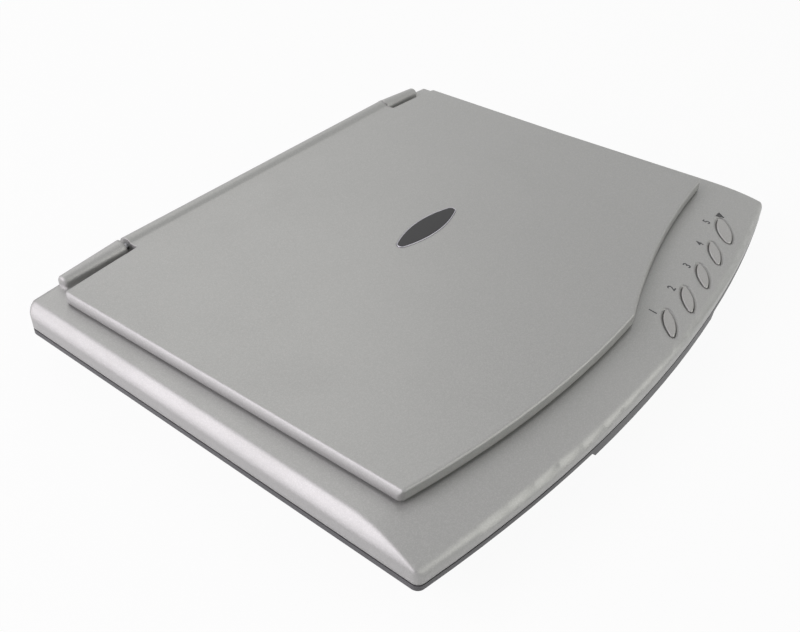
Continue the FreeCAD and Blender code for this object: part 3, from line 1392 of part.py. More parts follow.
def button_board_screws():
    """Two screws that hold the button board up against its posts."""
    screws = []
    seat = cell.button_board_bottom
    for spot in board_post_spots():
        head = post(spot, cell.small_head_radius, seat - cell.small_head_height, seat)
        shank = post(spot, cell.small_screw_radius, seat, seat + 3 * cell.board_thick)
        screws.append(head.fuse(shank).removeSplitter())
    return Part.makeCompound(screws)


def tact_switches():
    """One square switch with a round plunger under each button."""
    switches = []
    half = cell.switch_size / 2
    level = cell.button_board_top
    for k in range(BUTTONS):
        spot = button_spot(k)
        case = Part.makeBox(2 * half, 2 * half, cell.switch_height,
                            Vector(spot.x - half, spot.y - half, level))
        plunger = post(spot, cell.switch_size / 5, level + cell.switch_height, cell.switch_top)
        switches.append(case.fuse(plunger).removeSplitter())
    return Part.makeCompound(switches)


def indicator_led():
    """The small lamp under the front end of the light guide."""
    spot = led_spot()
    half = cell.lens_size / 4
    top = cell.switch_top + 2 * cell.plunger_height + cell.guide_thick - cell.seat_gap
    return Part.makeBox(2 * half, 2 * half, top - cell.button_board_top,
                        Vector(spot.x - half, spot.y - half, cell.button_board_top))


def build():
    """Make every piece of the scanner."""
    feature("upper_housing", upper_housing())
    feature("lower_tray", lower_tray())
    feature("lid_shell", lid_shell())
    feature("lid_liner", lid_liner())
    feature("lid_badge", lid_badge())
    for k in range(BUTTONS):
        feature("button_%d" % (k + 1), button(k))
    feature("indicator_lens", indicator_lens())
    feature("indicator_led", indicator_led())
    feature("button_board", button_board())
    feature("button_board_screws", button_board_screws())
    feature("tact_switches", tact_switches())
    feature("drive_rack", drive_rack())
    window_pieces()
    pad_pieces()
    chamfered_bar("hinge_pin_left", "-left_lug_inner - pin_in_lug",
                  "pin_in_lug + left_barrel_gap + pin_in_barrel", "pin_radius", 0.3)
    chamfered_bar("hinge_pin_right", "barrel_right - pin_in_barrel",
                  "pin_in_barrel + right_barrel_gap + pin_in_lug", "pin_radius", 0.3)
    feet()
    housing_screws()
    rod_pieces()
    carriage_frame()
    sensor_pieces()
    head_pieces()
    main_board_pieces()
    home_switch()
    ribbon_cable()


def write_nodes():
    """Check the document and write one STEP file for each piece."""
    doc.recompute()
    for item in doc.Objects:
        if "Invalid" in item.State or "Error" in item.State:
            raise RuntimeError("failed: " + item.Name)
    os.makedirs("parts", exist_ok=True)
    for item in nodes:
        item.Label = item.Name
        if item.Shape.isNull() or not item.Shape.isValid() or not item.Shape.Solids:
            raise RuntimeError("bad shape: " + item.Name)
    for item in nodes:
        item.Shape.exportStep(os.path.join("parts", item.Label + ".step"))
    print(len(nodes), "pieces written")


build()
write_nodes()
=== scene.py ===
"""Finishes, printed numbers and stage for a slim flatbed scanner, in metres."""

import math

import bmesh
import bpy
from bpy.props import FloatProperty, FloatVectorProperty, PointerProperty
from mathutils import Matrix, Vector
from mathutils.bvhtree import BVHTree


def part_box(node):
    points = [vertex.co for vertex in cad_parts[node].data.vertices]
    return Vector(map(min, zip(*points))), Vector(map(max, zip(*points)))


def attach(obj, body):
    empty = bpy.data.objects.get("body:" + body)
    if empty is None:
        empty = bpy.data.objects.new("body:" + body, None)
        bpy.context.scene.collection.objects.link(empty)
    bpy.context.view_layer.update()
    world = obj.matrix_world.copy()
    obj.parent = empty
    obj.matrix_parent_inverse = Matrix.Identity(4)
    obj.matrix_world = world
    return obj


bl_info = {
    "name": "Flatbed Scanner Finishes",
    "version": (1, 0, 0),
    "blender": (4, 5, 0),
    "location": "View3D > Sidebar > Scanner",
    "description": "Dresses the packed flatbed scanner and sets its stage",
    "category": "Object",
}

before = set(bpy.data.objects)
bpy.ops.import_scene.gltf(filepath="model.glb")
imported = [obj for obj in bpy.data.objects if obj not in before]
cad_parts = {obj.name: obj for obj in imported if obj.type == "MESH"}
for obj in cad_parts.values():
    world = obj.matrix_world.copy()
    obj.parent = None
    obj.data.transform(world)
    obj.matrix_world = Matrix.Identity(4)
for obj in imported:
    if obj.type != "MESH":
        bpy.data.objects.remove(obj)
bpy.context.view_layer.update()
MM = 0.001
BUTTONS = 5

# The bright ring round the badge
RING_GAP = 0.12 * MM       # from the badge's outline out to the ring's middle
RING_DEPTH = 0.2 * MM      # from the badge's top down to the ring's middle
RING_SIDES = 8
ARC_STEPS = 24
TIP_FULLNESS = 1.3         # radius of the badge's tips against a true ellipse's

# The printed numbers
MERGE_DISTANCE = 1e-7
DROP_HEIGHT = 10 * MM      # start of the drop onto the housing, over its highest point

# The stage
WHITE = (1.0, 1.0, 1.0, 1.0)
FLOOR_RADIUS = 6.0
FLOOR_SEGMENTS = 96
FLOOR_GLOW = 0.94          # share of plain white in the floor that is seen; the rest takes shadows
LAMP_AIM = (0.0, 0.0, 0.02)
CAMERA_PLACE = (-0.2818, -0.19055, 0.2512)
CAMERA_RIGHT = (0.6089, -0.7930, 0.0211)
CAMERA_UP = (0.4727, 0.3840, 0.7932)
CAMERA_BACK = (-0.6371, -0.4730, 0.6086)

# Sockets of a Mix node that mixes colours
MIX_FACTOR = 0
MIX_FIRST = 6
MIX_SECOND = 7
MIX_RESULT = 2

GREY = (0.5, 0.5, 0.5, 1.0)
SOCKETS = {"float": "NodeSocketFloat", "colour": "NodeSocketColor", "vector": "NodeSocketVector"}


# Sizes and colours that a user would change

def colour_property(name, description, default):
    """A colour picker property."""
    return FloatVectorProperty(name=name, description=description, default=default,
                               subtype="COLOR", size=3, min=0.0, max=1.0)


class ScannerColours(bpy.types.PropertyGroup):
    """Main colours of the scanner."""
    housing: colour_property("Housing", "Silver of the upper housing", (0.386, 0.387, 0.380))
    cover: colour_property("Cover", "Silver of the cover", (0.366, 0.368, 0.360))
    tray: colour_property("Tray", "Dark grey of the lower tray", (0.085, 0.084, 0.090))
    button: colour_property("Buttons", "Pale silver of the button caps", (0.405, 0.402, 0.392))
    badge: colour_property("Badge", "Dark plate on the cover", (0.016, 0.016, 0.018))
    print_ink: colour_property("Ink", "Ink of the printed numbers", (0.05, 0.05, 0.055))


class ScannerSizes(bpy.types.PropertyGroup):
    """Sizes of the pieces that are made here."""
    number_height: FloatProperty(name="Number height", description="Size of the printed numbers",
                                 default=4.8 * MM, unit="LENGTH")
    number_gap: FloatProperty(name="Number gap",
                              description="From a button's rear edge to its number's middle",
                              default=1.3 * MM, unit="LENGTH")
    number_shift: FloatProperty(name="Number shift",
                                description="How far a number stands right of its button",
                                default=0.7 * MM, unit="LENGTH")
    print_weight: FloatProperty(name="Number weight",
                                description="How far the strokes are thickened",
                                default=0.09 * MM, unit="LENGTH")
    print_thickness: FloatProperty(name="Ink thickness",
                                   description="How far the ink stands over the housing",
                                   default=0.03 * MM, unit="LENGTH")
    ring_radius: FloatProperty(name="Ring thickness",
                               description="Radius of the bright ring round the badge",
                               default=0.22 * MM, unit="LENGTH")


class ScannerStage(bpy.types.PropertyGroup):
    """Light levels and lens of the stage."""
    key_power: FloatProperty(name="Key light", description="Power of the lamp at the left",
                             default=12.6, unit="POWER")
    top_power: FloatProperty(name="Top light", description="Power of the lamp behind and above",
                             default=1.5, unit="POWER")
    fill_power: FloatProperty(name="Fill light", description="Power of the lamp at the front",
                              default=6.3, unit="POWER")
    world_strength: FloatProperty(name="Room light", description="Strength of the even light",
                                  default=0.19)
    lens: FloatProperty(name="Lens", description="Focal length", default=43.25,
                        subtype="DISTANCE_CAMERA")


# Node helpers

class Patch:
    """Adds nodes to one tree and joins their sockets."""

    def __init__(self, tree):
        self.tree = tree

    def feed(self, socket, value):
        """Give a socket a link or a plain value."""
        if isinstance(value, bpy.types.NodeSocket):
            self.tree.links.new(value, socket)
        else:
            socket.default_value = value

    def add(self, kind, inputs=(), **settings):
        """Add a node, set it up, and feed its inputs by name or number."""
        item = self.tree.nodes.new("ShaderNode" + kind)
        for key, value in settings.items():
            setattr(item, key, value)
        for label, value in dict(inputs).items():
            self.feed(item.inputs[label], value)
        return item

    def effect(self, name, inputs):
        """Place one of the shared effects."""
        return self.add("Group", inputs, node_tree=bpy.data.node_groups[name]).outputs

    def math(self, operation, first, second):
        """Work out one value from two."""
        return self.add("Math", {0: first, 1: second}, operation=operation).outputs[0]

    def per_metre(self, size):
        """How often a size fits into a metre."""
        return self.math("DIVIDE", 1.0, size)

    def mask(self, value, low, high):
        """A mask that rises from 0 to 1 while a value goes from low to high."""
        return self.add("MapRange", {"Value": value, "From Min": low, "From Max": high}).outputs[0]

    def mix(self, factor, first, second):
        """Mix two colours."""
        colours = {MIX_FACTOR: factor, MIX_FIRST: first, MIX_SECOND: second}
        return self.add("Mix", colours, data_type="RGBA").outputs[MIX_RESULT]

    def mix_shaders(self, factor, first, second):
        """Mix two shaders."""
        return self.add("MixShader", {0: factor, 1: first, 2: second}).outputs[0]

    def place(self):
        """The piece's own coordinates, in metres."""
        return self.add("TexCoord").outputs["Object"]

    def noise(self, scale, detail=2.0, stretch=None, distortion=0.0):
        """Noise over the piece, in turns per metre."""
        place = self.place()
        if stretch is not None:
            place = self.add("Mapping", {"Vector": place, "Scale": stretch}).outputs[0]
        return self.add("TexNoise", {"Vector": place, "Scale": scale, "Detail": detail,
                                     "Distortion": distortion}).outputs["Fac"]

    def cells(self, scale, **settings):
        """Cells over the piece, in cells per metre."""
        return self.add("TexVoronoi", {"Vector": self.place(), "Scale": scale},
                        **settings).outputs


def new_effect(name, inputs, outputs):
    """A shader node group: the patch of its tree, its inputs and its outputs."""
    tree = bpy.data.node_groups.new(name, "ShaderNodeTree")
    for label, kind, default in inputs:
        socket = tree.interface.new_socket(name=label, in_out="INPUT", socket_type=SOCKETS[kind])
        socket.default_value = default
    for label, kind in outputs:
        tree.interface.new_socket(name=label, in_out="OUTPUT", socket_type=SOCKETS[kind])
    given = tree.nodes.new("NodeGroupInput").outputs
    out = tree.nodes.new("NodeGroupOutput").inputs
    return Patch(tree), given, out


# Surface effects that the materials share

def build_colour_drift():
    """A colour that changes slowly toward its shade, in clouds."""
    patch, given, out = new_effect(
        "colour_drift",
        [("Colour", "colour", GREY), ("Shade", "colour", GREY), ("Patch Size", "float", 50 * MM)],
        [("Colour", "colour")])
    cloud = patch.noise(patch.per_metre(given["Patch Size"]), detail=3.0, distortion=0.4)
    cloud = patch.mask(cloud, 0.3, 0.7)
    patch.feed(out["Colour"], patch.mix(cloud, given["Colour"], given["Shade"]))


def build_moulded_grain():
    """The fine grain of a mould, whose roughness also changes over wider patches."""
    patch, given, out = new_effect(
        "moulded_grain",
        [("Grain Size", "float", 0.5 * MM), ("Roughness", "float", 0.5), ("Spread", "float", 0.1)],
        [("Height", "float"), ("Roughness", "float")])
    scale = patch.per_metre(given["Grain Size"])
    fine = patch.noise(scale, detail=3.0)
    wide = patch.noise(patch.math("MULTIPLY", scale, 0.03))
    swing = patch.math("SUBTRACT", patch.math("ADD", fine, wide), 1.0)
    swing = patch.math("MULTIPLY", swing, given["Spread"])
    patch.feed(out["Height"], fine)
    patch.feed(out["Roughness"], patch.math("ADD", given["Roughness"], swing))


def build_metal_flakes():
    """Small cells, of which some are brighter."""
    patch, given, out = new_effect(
        "metal_flakes",
        [("Colour", "colour", GREY), ("Flake Colour", "colour", GREY),
         ("Flake Size", "float", 0.3 * MM)],
        [("Colour", "colour"), ("Mask", "float")])
    cells = patch.cells(patch.per_metre(given["Flake Size"]))
    tone = patch.add("SeparateColor", {"Color": cells["Color"]}).outputs[0]
    bright = patch.mask(tone, 0.35, 1.0)
    patch.feed(out["Mask"], bright)
    patch.feed(out["Colour"], patch.mix(bright, given["Colour"], given["Flake Colour"]))


def build_brushed_lines():
    """Fine lines, drawn out along the axis on which the stretch is least."""
    patch, given, out = new_effect(
        "brushed_lines",
        [("Colour", "colour", GREY), ("Line Colour", "colour", GREY),
         ("Stretch", "vector", (40.0, 2000.0, 2000.0)), ("Roughness", "float", 0.3)],
        [("Colour", "colour"), ("Height", "float"), ("Roughness", "float")])
    lines = patch.noise(1.0, detail=4.0, stretch=given["Stretch"])
    strong = patch.mask(lines, 0.3, 0.7)
    rougher = patch.math("MULTIPLY", strong, 0.12)
    patch.feed(out["Colour"], patch.mix(strong, given["Colour"], given["Line Colour"]))
    patch.feed(out["Height"], lines)
    patch.feed(out["Roughness"], patch.math("ADD", given["Roughness"], rougher))


def build_handling_marks():
    """Soft smudges and a few hairline scratches."""
    patch, given, out = new_effect(
        "handling_marks", [("Length", "float", 30 * MM), ("Amount", "float", 1.0)],
        [("Mask", "float")])
    scale = patch.per_metre(given["Length"])
    smudge = patch.mask(patch.noise(scale, detail=4.0, distortion=1.2), 0.55, 0.8)
    hair = patch.mask(patch.noise(scale, stretch=(1.0, 38.0, 38.0), distortion=0.6), 0.71, 0.74)
    both = patch.math("ADD", smudge, patch.math("MULTIPLY", hair, 0.8))
    patch.feed(out["Mask"], patch.math("MULTIPLY", both, given["Amount"]))


def build_settled_dust():
    """Dust in patches on whatever faces up."""
    patch, given, out = new_effect(
        "settled_dust", [("Patch Size", "float", 20 * MM), ("Amount", "float", 0.3)],
        [("Mask", "float")])
    normal = patch.add("TexCoord").outputs["Normal"]
    facing = patch.add("SeparateXYZ", {"Vector": normal}).outputs["Z"]
    cloud = patch.noise(patch.per_metre(given["Patch Size"]), detail=6.0)
    dust = patch.math("MULTIPLY", patch.mask(cloud, 0.4, 0.8), patch.mask(facing, 0.2, 0.9))
    patch.feed(out["Mask"], patch.math("MULTIPLY", dust, given["Amount"]))


# Parts of a material

def rgba(colour, level=1.0):
    """A colour at a brightness level, as four numbers."""
    return (*[min(part * level, 1.0) for part in colour[:3]], 1.0)


def new_material(name):
    """A material, the patch of its tree and its shader."""
    material = bpy.data.materials.new(name)
    material.use_nodes = True
    return material, Patch(material.node_tree), material.node_tree.nodes["Principled BSDF"]


def drifting(patch, colour, shade, patch_size):
    """A colour that drifts toward a level of itself."""
    return patch.effect("colour_drift", {"Colour": rgba(colour), "Shade": rgba(colour, shade),
                                         "Patch Size": patch_size})["Colour"]


def moulded(patch, grain_size, roughness, spread):
    """Height and roughness of a moulded grain."""
    return patch.effect("moulded_grain", {"Grain Size": grain_size, "Roughness": roughness,
                                          "Spread": spread})


def worn(patch, roughness, length, amount):
    """A roughness with handling marks on it."""
    marks = patch.effect("handling_marks", {"Length": length, "Amount": amount})
    return patch.math("ADD", roughness, marks["Mask"])


def surface(patch, shader, colour, roughness, height, depth, edge=0.0):
    """Give a shader its colour, roughness and bump. The edge rounds its sharp corners a little."""
    patch.feed(shader.inputs["Base Color"], colour)
    patch.feed(shader.inputs["Roughness"], roughness)
    bump = patch.add("Bump", {"Height": height, "Strength": 1.0, "Distance": depth})
    if edge:
        rounding = patch.add("Bevel", {"Radius": edge}, samples=6)
        patch.feed(bump.inputs["Normal"], rounding.outputs["Normal"])
    patch.feed(shader.inputs["Normal"], bump.outputs["Normal"])


# Materials

def silver_paint(name, colour, patch_size, roughness, metallic, edge):
    """Matt silver plastic: fine bright flakes, slight clouds and faint handling marks."""
    material, patch, shader = new_material(name)
    flakes = patch.effect("metal_flakes", {"Colour": drifting(patch, colour, 0.965, patch_size),
                                           "Flake Colour": rgba(colour, 1.13),
                                           "Flake Size": 0.28 * MM})
    grain = moulded(patch, 0.6 * MM, roughness, spread=0.05)
    shader.inputs["Metallic"].default_value = metallic
    surface(patch, shader, flakes["Colour"],
            worn(patch, grain["Roughness"], length=45 * MM, amount=0.05),
            grain["Height"], 0.006 * MM, edge)
    return material


def plain_plastic(name, colour, shade=0.9, grain_size=0.6 * MM, depth=0.02 * MM, roughness=0.5,
                  spread=0.12, dust=0.0, edge=0.0, coat=0.0, gloss=0.5, patch_size=30 * MM):
    """Moulded plastic or rubber with a grain, slow colour changes and some dust."""
    material, patch, shader = new_material(name)
    base = drifting(patch, colour, shade, patch_size)
    if dust:
        film = patch.effect("settled_dust", {"Patch Size": 12 * MM, "Amount": dust})
        base = patch.mix(film["Mask"], base, rgba((0.45, 0.44, 0.42)))
    grain = moulded(patch, grain_size, roughness, spread)
    shader.inputs["Coat Weight"].default_value = coat
    shader.inputs["Specular IOR Level"].default_value = gloss
    surface(patch, shader, base, worn(patch, grain["Roughness"], length=20 * MM, amount=0.08),
            grain["Height"], depth, edge)
    return material


def worked_metal(name, colour, stretch, roughness, line_level=0.8):
    """Ground, drawn or plated metal. The stretch is its lines per metre along x, y and z."""
    material, patch, shader = new_material(name)
    lines = patch.effect("brushed_lines", {"Colour": rgba(colour),
                                           "Line Colour": rgba(colour, line_level),
                                           "Stretch": stretch, "Roughness": roughness})
    shader.inputs["Metallic"].default_value = 1.0
    surface(patch, shader, lines["Colour"],
            worn(patch, lines["Roughness"], length=10 * MM, amount=0.1),
            lines["Height"], 0.004 * MM)
    return material


def clear_material(name, colour, roughness, index, smear):
    """Glass or clear plastic with a faint film of fingermarks."""
    material, patch, shader = new_material(name)
    grain = moulded(patch, 2 * MM, roughness, spread=0.02)
    shader.inputs["Transmission Weight"].default_value = 1.0
    shader.inputs["IOR"].default_value = index
    surface(patch, shader, drifting(patch, colour, 0.98, 50 * MM),
            worn(patch, grain["Roughness"], length=50 * MM, amount=smear),
            grain["Height"], 0.0004 * MM)
    return material


def circuit_board(name):
    """Green solder mask over copper tracks on a square grid, with some tinned pads."""
    tracks_per_metre = 420.0
    pads_per_metre = 900.0
    material, patch, shader = new_material(name)
    cells = patch.cells(tracks_per_metre, distance="CHEBYCHEV", feature="F1")
    tracks = patch.mask(cells["Distance"], 0.42, 0.5)
    pads = patch.mask(patch.noise(pads_per_metre, detail=0.0), 0.74, 0.76)
    mask = patch.mix(tracks, rgba((0.012, 0.115, 0.05)), rgba((0.03, 0.19, 0.085)))
    grain = moulded(patch, 0.8 * MM, 0.32, spread=0.1)
    patch.feed(shader.inputs["Metallic"], patch.math("MULTIPLY", pads, 0.9))
    surface(patch, shader, patch.mix(pads, mask, rgba((0.6, 0.58, 0.5))), grain["Roughness"],
            tracks, 0.03 * MM)
    return material


def open_foam(name):
    """Dark foam with open cells, whose pores are painted darker in their middles: painted shade in
    the hollows.
    """
    pores_per_metre = 1400.0
    material, patch, shader = new_material(name)
    # This mask sinks the pores by bump and also paints their middles darker, which is painted
    # shade in the hollows.
    pore_depth_and_shade = patch.mask(patch.cells(pores_per_metre)["Distance"], 0.1, 0.7)
    colour = patch.mix(pore_depth_and_shade, rgba((0.03, 0.03, 0.032)), rgba((0.12, 0.12, 0.125)))
    grain = moulded(patch, 0.5 * MM, 0.9, spread=0.1)
    surface(patch, shader, colour, grain["Roughness"], pore_depth_and_shade, 0.25 * MM)
    return material


def dress(material, *names):
    """Give CAD nodes one material."""
    for name in names:
        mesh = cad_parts[name].data
        mesh.materials.clear()
        mesh.materials.append(material)


def new_piece(name, bm, material, body):
    """Turn a bmesh into a piece that rides on a body."""
    bmesh.ops.recalc_face_normals(bm, faces=bm.faces)
    mesh = bpy.data.meshes.new(name)
    bm.to_mesh(mesh)
    bm.free()
    mesh.materials.append(material)
    item = bpy.data.objects.new(name, mesh)
    bpy.context.scene.collection.objects.link(item)
    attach(item, body)


# One operator for each piece or group of like pieces

class SCANNER_OT_effects(bpy.types.Operator):
    """Build the node groups that the finishes share"""
    bl_idname = "scanner.effects"
    bl_label = "Shared effects"

    def execute(self, context):
        build_colour_drift()
        build_moulded_grain()
        build_metal_flakes()
        build_brushed_lines()
        build_handling_marks()
        build_settled_dust()
        return {"FINISHED"}


class SCANNER_OT_shells(bpy.types.Operator):
    """Finish the silver upper housing and the cover"""
    bl_idname = "scanner.shells"
    bl_label = "Silver shells"

    def execute(self, context):
        colours = context.scene.scanner_colours
        dress(silver_paint("housing_silver", colours.housing, patch_size=70 * MM, roughness=0.43,
                           metallic=0.42, edge=2.0 * MM),
              "upper_housing")
        dress(silver_paint("cover_silver", colours.cover, patch_size=90 * MM, roughness=0.43,
                           metallic=0.42, edge=1.1 * MM),
              "lid_shell")
        return {"FINISHED"}


class SCANNER_OT_tray(bpy.types.Operator):
    """Finish the dark tray and its rubber feet"""
    bl_idname = "scanner.tray"
    bl_label = "Tray and feet"

    def execute(self, context):
        colours = context.scene.scanner_colours
        dress(plain_plastic("tray_plastic", colours.tray, grain_size=0.7 * MM,
                            depth=0.012 * MM, roughness=0.48, dust=0.05, edge=0.2 * MM),
              "lower_tray")
        dress(plain_plastic("foot_rubber", (0.03, 0.03, 0.032), shade=0.8, grain_size=0.3 * MM,
                            roughness=0.8, dust=0.1),
              "foot_front_left", "foot_front_right", "foot_rear_left", "foot_rear_right")
        return {"FINISHED"}


class SCANNER_OT_buttons(bpy.types.Operator):
    """Finish the five oval buttons and the indicator"""
    bl_idname = "scanner.buttons"
    bl_label = "Buttons and indicator"

    def execute(self, context):
        colours = context.scene.scanner_colours
        dress(silver_paint("button_silver", colours.button, patch_size=20 * MM, roughness=0.30,
                           metallic=0.35, edge=0.4 * MM),
              *["button_%d" % number for number in range(1, BUTTONS + 1)])
        dress(clear_material("indicator_plastic", (0.25, 0.28, 0.26), roughness=0.12, index=1.49,
                             smear=0.05),
              "indicator_lens")
        dress(plain_plastic("lamp_epoxy", (0.35, 0.5, 0.3), roughness=0.25, depth=0.005 * MM,
                            coat=0.5),
              "indicator_led")
        return {"FINISHED"}


def oval_path(length, width, grow):
    """Points along an oval of four tangent arcs, as in the badge's own outline, but grown."""
    half_long = length / 2
    half_wide = width / 2
    tip = TIP_FULLNESS * half_wide ** 2 / half_long
    flat = (half_long ** 2 + half_wide ** 2 - 2 * half_long * tip) / (2 * (half_wide - tip))
    tip_middle = half_long - tip
    flat_middle = flat - half_wide
    lean = math.atan2(flat_middle, tip_middle)
    points = []
    arcs = ((tip_middle, 0.0, tip, -lean, lean),
            (0.0, -flat_middle, flat, lean, math.pi - lean),
            (-tip_middle, 0.0, tip, math.pi - lean, math.pi + lean),
            (0.0, flat_middle, flat, math.pi + lean, 2 * math.pi - lean))
    for across, along, radius, start, end in arcs:
        for step in range(ARC_STEPS):
            angle = start + (end - start) * step / ARC_STEPS
            points.append(Vector((across + (radius + grow) * math.cos(angle),
                                  along + (radius + grow) * math.sin(angle), 0.0)))
    return points


def ring_mesh(path, place, radius):
    """A closed thin tube along a flat closed path, moved to a place."""
    bm = bmesh.new()
    rings = []
    for number, point in enumerate(path):
        ahead = path[(number + 1) % len(path)] - path[number - 1]
        outward = Vector((ahead.y, -ahead.x, 0.0)).normalized()
        ring = []
        for side in range(RING_SIDES):
            angle = 2 * math.pi * side / RING_SIDES
            lift = Vector((0, 0, math.sin(angle) * radius))
            spot = point + outward * math.cos(angle) * radius + lift
            ring.append(bm.verts.new(spot + place))
        rings.append(ring)
    for number, ring in enumerate(rings):
        after = rings[(number + 1) % len(rings)]
        for side in range(RING_SIDES):
            turn = (side + 1) % RING_SIDES
            face = bm.faces.new((ring[side], ring[turn], after[turn], after[side]))
            face.smooth = True
    return bm


class SCANNER_OT_badge(bpy.types.Operator):
    """Finish the blank badge and lay a bright ring round it"""
    bl_idname = "scanner.badge"
    bl_label = "Badge"

    def execute(self, context):
        colours = context.scene.scanner_colours
        sizes = context.scene.scanner_sizes
        dress(plain_plastic("badge_lacquer", colours.badge, shade=0.8, grain_size=0.4 * MM,
                            depth=0.003 * MM, roughness=0.3, spread=0.06, gloss=0.28,
                            edge=0.2 * MM),
              "lid_badge")
        low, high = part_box("lid_badge")
        middle = (low + high) / 2
        bm = ring_mesh(oval_path(high.x - low.x, high.y - low.y, RING_GAP),
                       Vector((middle.x, middle.y, high.z - RING_DEPTH)), sizes.ring_radius)
        bright = worked_metal("ring_chrome", (0.44, 0.43, 0.47), stretch=(600.0, 600.0, 600.0),
                              roughness=0.3, line_level=0.9)
        new_piece("badge_ring", bm, bright, "cover")
        return {"FINISHED"}


def digit_mesh(context, number, sizes):
    """A printed number as a thin flat form at the origin."""
    text = bpy.data.curves.new("number_shape", "FONT")
    text.body = str(number)
    text.size = sizes.number_height
    text.align_x = "CENTER"
    text.align_y = "CENTER"
    text.extrude = sizes.print_thickness
    text.offset = sizes.print_weight
    holder = bpy.data.objects.new("number_holder", text)
    context.scene.collection.objects.link(holder)
    context.view_layer.update()
    solid = holder.evaluated_get(context.evaluated_depsgraph_get())
    mesh = bpy.data.meshes.new_from_object(solid)
    bm = bmesh.new()
    bm.from_mesh(mesh)
    bmesh.ops.remove_doubles(bm, verts=bm.verts, dist=MERGE_DISTANCE)
    bpy.data.objects.remove(holder)
    bpy.data.curves.remove(text)
    bpy.data.meshes.remove(mesh)
    return bm


def drop_onto(housing_tree, bm, across, along, over):
    """Move a flat form to its place and drop each of its points onto the housing."""
    for vert in bm.verts:
        spot = Vector((across + vert.co.x, along + vert.co.y, over))
        hit = housing_tree.ray_cast(spot, Vector((0, 0, -1)))[0]
        if hit is None:
            raise RuntimeError("a printed number misses the housing")
        vert.co = Vector((spot.x, spot.y, hit.z + vert.co.z))


class SCANNER_OT_numbers(bpy.types.Operator):
    """Print a plain number beside each button"""
    bl_idname = "scanner.numbers"
    bl_label = "Printed numbers"

    def execute(self, context):
        colours = context.scene.scanner_colours
        sizes = context.scene.scanner_sizes
        ink = plain_plastic("number_ink", colours.print_ink, shade=0.85, grain_size=0.2 * MM,
                            depth=0.003 * MM, patch_size=2 * MM)
        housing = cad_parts["upper_housing"]
        housing_tree = BVHTree.FromObject(housing, context.evaluated_depsgraph_get())
        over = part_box("upper_housing")[1].z + DROP_HEIGHT
        for number in range(1, BUTTONS + 1):
            low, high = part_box("button_%d" % number)
            bm = digit_mesh(context, number, sizes)
            drop_onto(housing_tree, bm, (low.x + high.x) / 2 + sizes.number_shift,
                      high.y + sizes.number_gap, over)
            new_piece("printed_number_%d" % number, bm, ink, "base")
        return {"FINISHED"}


class SCANNER_OT_window(bpy.types.Operator):
    """Finish the glass, its adhesive ring and the white strip"""
    bl_idname = "scanner.window"
    bl_label = "Window"

    def execute(self, context):
        dress(clear_material("window_glass", (0.92, 0.97, 0.95), roughness=0.02, index=1.52,
                             smear=0.04),
              "scan_glass")
        dress(plain_plastic("tape_film", (0.62, 0.62, 0.6), roughness=0.45, depth=0.01 * MM),
              "glass_tape")
        dress(plain_plastic("strip_white", (0.86, 0.86, 0.85), shade=0.98, roughness=0.6,
                            depth=0.004 * MM),
              "calibration_strip")
        return {"FINISHED"}


class SCANNER_OT_cover_inside(bpy.types.Operator):
    """Finish the liner, the foam and the white sheet inside the cover"""
    bl_idname = "scanner.cover_inside"
    bl_label = "Inside of the cover"

    def execute(self, context):
        dress(plain_plastic("liner_white", (0.72, 0.72, 0.7), shade=0.96, roughness=0.55,
                            grain_size=0.8 * MM),
              "lid_liner")
        dress(open_foam("pad_foam"), "foam_pad")
        dress(plain_plastic("sheet_white", (0.84, 0.84, 0.83), shade=0.975, roughness=0.42,
                            grain_size=1.5 * MM, depth=0.01 * MM),
              "pad_cover")
        return {"FINISHED"}


class SCANNER_OT_scan_head(bpy.types.Operator):
    """Finish the scan head with its sensor, bushes and springs"""
    bl_idname = "scanner.scan_head"
    bl_label = "Scan head"

    def execute(self, context):
        dress(plain_plastic("frame_plastic", (0.05, 0.05, 0.053), roughness=0.55),
              "carriage_frame")
        dress(plain_plastic("sensor_plastic", (0.022, 0.022, 0.024), roughness=0.42,
                            grain_size=0.4 * MM),
              "sensor_housing")
        dress(plain_plastic("spacer_plastic", (0.68, 0.68, 0.64), roughness=0.4),
              "sensor_spacers")
        dress(clear_material("sensor_glass", (0.9, 0.95, 0.93), roughness=0.03, index=1.52,
                             smear=0.02),
              "sensor_window")
        dress(plain_plastic("lens_row", (0.05, 0.055, 0.06), shade=0.6, depth=0.05 * MM,
                            roughness=0.2, coat=0.6),
              "rod_lens")
        dress(clear_material("guide_acrylic", (0.88, 0.92, 0.9), roughness=0.08, index=1.49,
                             smear=0.03),
              "light_guide")
        dress(worked_metal("bush_bronze", (0.55, 0.38, 0.2), stretch=(900.0, 900.0, 900.0),
                           roughness=0.4),
              "rod_bushes")
        dress(worked_metal("spring_leaf", (0.55, 0.56, 0.58), stretch=(60.0, 2500.0, 2500.0),
                           roughness=0.3),
              "sensor_springs")
        return {"FINISHED"}


